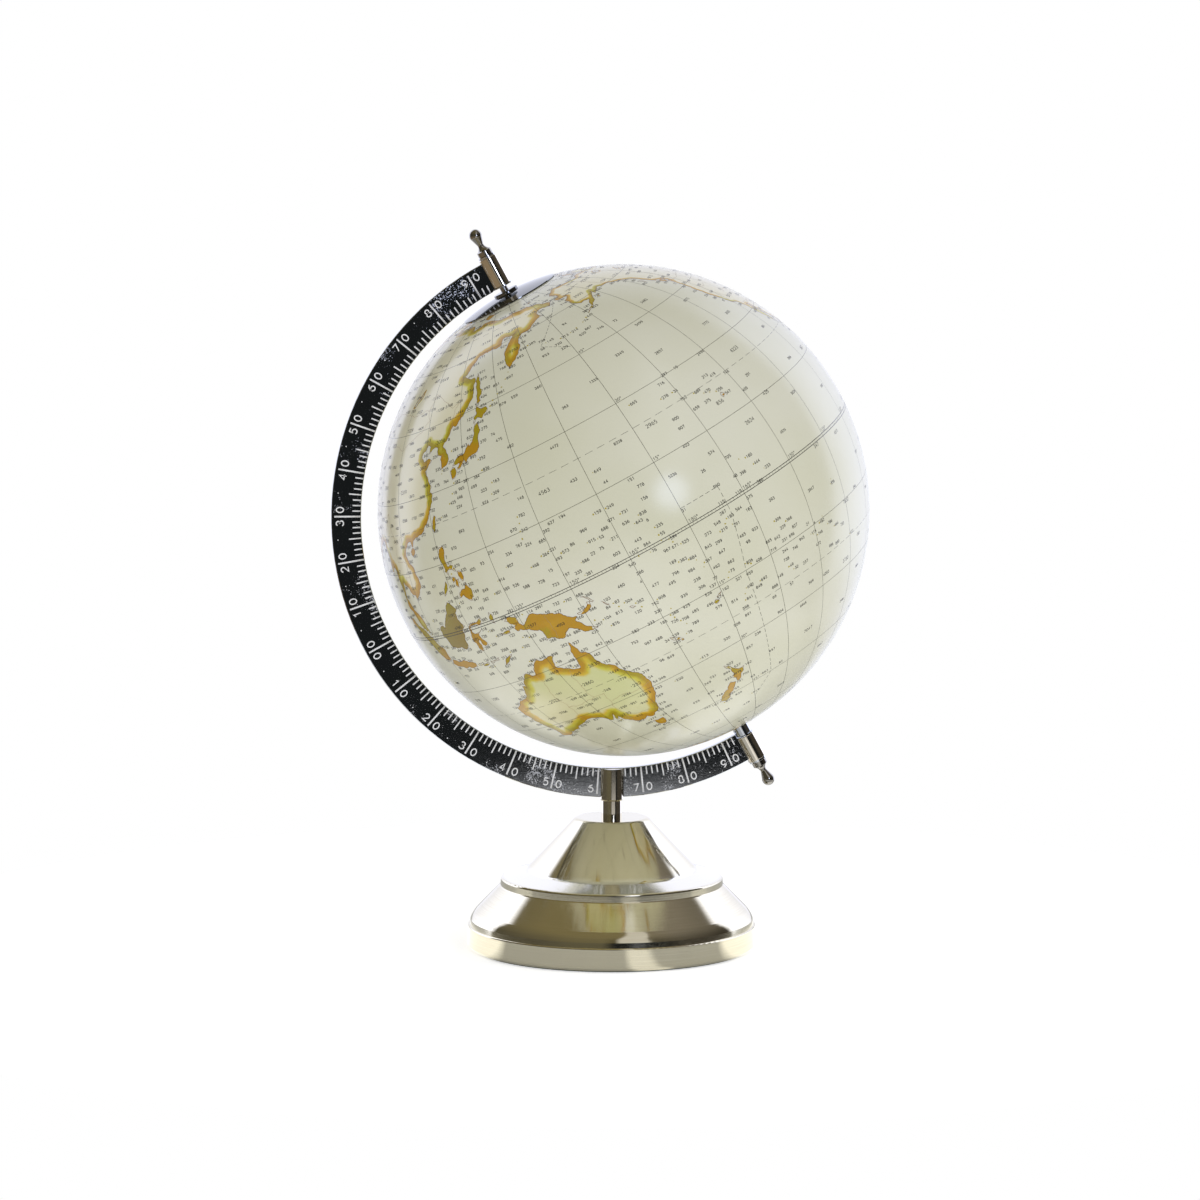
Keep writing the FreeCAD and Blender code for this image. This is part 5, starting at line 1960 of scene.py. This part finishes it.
    def _world(self) -> None:
        """The room the metal shows: dark in front, white panels at the sides, pale behind."""
        world = bpy.data.worlds.new("studio")
        n = Nodes.of(world)
        direction = n.add("TexCoord").outputs["Generated"]
        _, axes, angle = self._bearing(n, direction)
        rise = n.times(n.math("ARCSINE", axes[2]), DEGREES)
        shown = self._room(n, angle, rise)
        shown = n.mix(self._back(n, rise, axes[1]), shown, self._pale(n, rise))
        shown = n.mix(self._panels(n, angle, rise, axes[1]), shown, self.panel_white)
        path = n.add("LightPath").outputs
        mirror = n.math("MAXIMUM", path["Is Glossy Ray"], path["Is Transmission Ray"])
        key = self._toward(*self.ambient_key)
        facing = n.add("VectorMath", {0: direction, 1: tuple(key)},
                       operation="DOT_PRODUCT").outputs["Value"]
        soft = n.ramp(facing, -1.0, 1.0, *self.ambient)
        soft = n.times(soft, n.ramp(rise, 20.0, 80.0, 1.0, self.ceiling))
        ambient = n.add("CombineColor", {0: soft, 1: soft, 2: soft}).outputs[0]
        light = n.mix(mirror, ambient, shown)
        light = n.mix(path["Is Camera Ray"], light, (1.0, 1.0, 1.0, 1.0))
        ground = n.add("Background", {"Color": light, "Strength": 1.0})
        n.add("OutputWorld", {"Surface": ground.outputs[0]})
        bpy.context.scene.world = world

    @staticmethod
    def _window(n: Nodes, value: object, start: float, end: float,
                edge: float) -> Socket:
        """One between two limits, falling to nothing over a soft edge outside them."""
        return n.times(n.ramp(value, start - edge, start),
                       n.ramp(value, end, end + edge, 1.0, 0.0))

    def _room(self, n: Nodes, angle: object, rise: object) -> Socket:
        """The dark front of the room, its grey upper part and its bright streaks.

        Args:
            n: the world's nodes.
            angle: degrees to the right of the camera's side.
            rise: degrees above level.

        Returns:
            The colour seen that way.
        """
        # The ramps' limits are degrees: of the angle, or of the rise.
        left = n.mix(n.ramp(angle, -60.0, -34.0), tone(92, 88, 76), tone(104, 100, 82))
        dark = n.mix(n.ramp(angle, -8.0, 2.0), left, tone(30, 32, 32))
        dark = n.mix(n.ramp(angle, 42.0, 62.0), dark, tone(68, 64, 58))
        upper = n.mix(n.ramp(angle, 10.0, 70.0), tone(134, 125, 94), tone(138, 132, 124))
        dark = n.mix(n.ramp(rise, 20.0, 56.0), dark, upper)
        under = n.times(n.ramp(angle, -6.0, 0.0, 1.0, 0.0), n.ramp(rise, -18.0, -11.0, 1.0, 0.0))
        dark = n.mix(under, dark, tone(150, 134, 112))
        low = n.times(self._window(n, angle, 1.0, 36.0, 4.0), n.ramp(rise, -8.9, -8.5, 1.15, 0.0))
        leaning = n.math("SUBTRACT", angle, n.ramp(rise, 45.0, 72.0, 0.0, 20.0))
        high = n.times(self._window(n, leaning, 8.0, 32.0, 5.0),
                       self._window(n, rise, 26.0, 86.0, 5.0))
        streak = n.math("MAXIMUM", low, high)
        return n.mix(streak, dark, self.streak_white)

    @staticmethod
    def _back(n: Nodes, rise: object, away: object) -> Socket:
        """How far a direction lies behind the globe, below the dark ceiling."""
        return n.times(n.ramp(away, 0.36, 0.48), n.ramp(rise, 50.0, 66.0, 1.0, 0.0))

    @staticmethod
    def _pale(n: Nodes, rise: object) -> Socket:
        """The pale wall behind, duller towards the floor and the ceiling."""
        wall = n.mix(n.ramp(rise, -26.0, -12.0), (0.9, 0.9, 0.95, 1), (1.1, 1.13, 1.3, 1))
        return n.mix(n.ramp(rise, 34.0, 54.0), wall, (0.75, 0.75, 0.74, 1))

    def _panels(self, n: Nodes, angle: object, rise: object, away: object) -> Socket:
        """Where the two white side panels stand, behind to the left and the right."""
        beside = n.times(n.ramp(away, 0.38, 0.46),
                         n.ramp(n.math("ABSOLUTE", angle), 134.0, 162.0, 1.0, 0.0))
        return n.times(beside, self._window(n, rise, -8.0, 46.0, 10.0))

    def _camera(self) -> None:
        """The camera, low in front and a little to the left."""
        lens = bpy.data.cameras.new("camera")
        lens.lens = self.lens
        lens.sensor_width = 36.0
        lens.clip_start = self.clip_start
        camera = into_scene("camera", lens)
        self._aim(camera, Vector(self.look_at),
                  self._toward(self.camera_azimuth, self.camera_height), self.camera_distance)
        bpy.context.scene.camera = camera


def main() -> None:
    """Builds the globe and its studio."""
    logging.basicConfig(level=logging.INFO, format="%(message)s")
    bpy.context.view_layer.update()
    shop = Workshop()
    Stand(shop).build()
    PrintedBall(shop).build()
    RingScale(shop).build()
    Studio().build()
    bpy.context.view_layer.update()


if __name__ == "__main__":
    main()
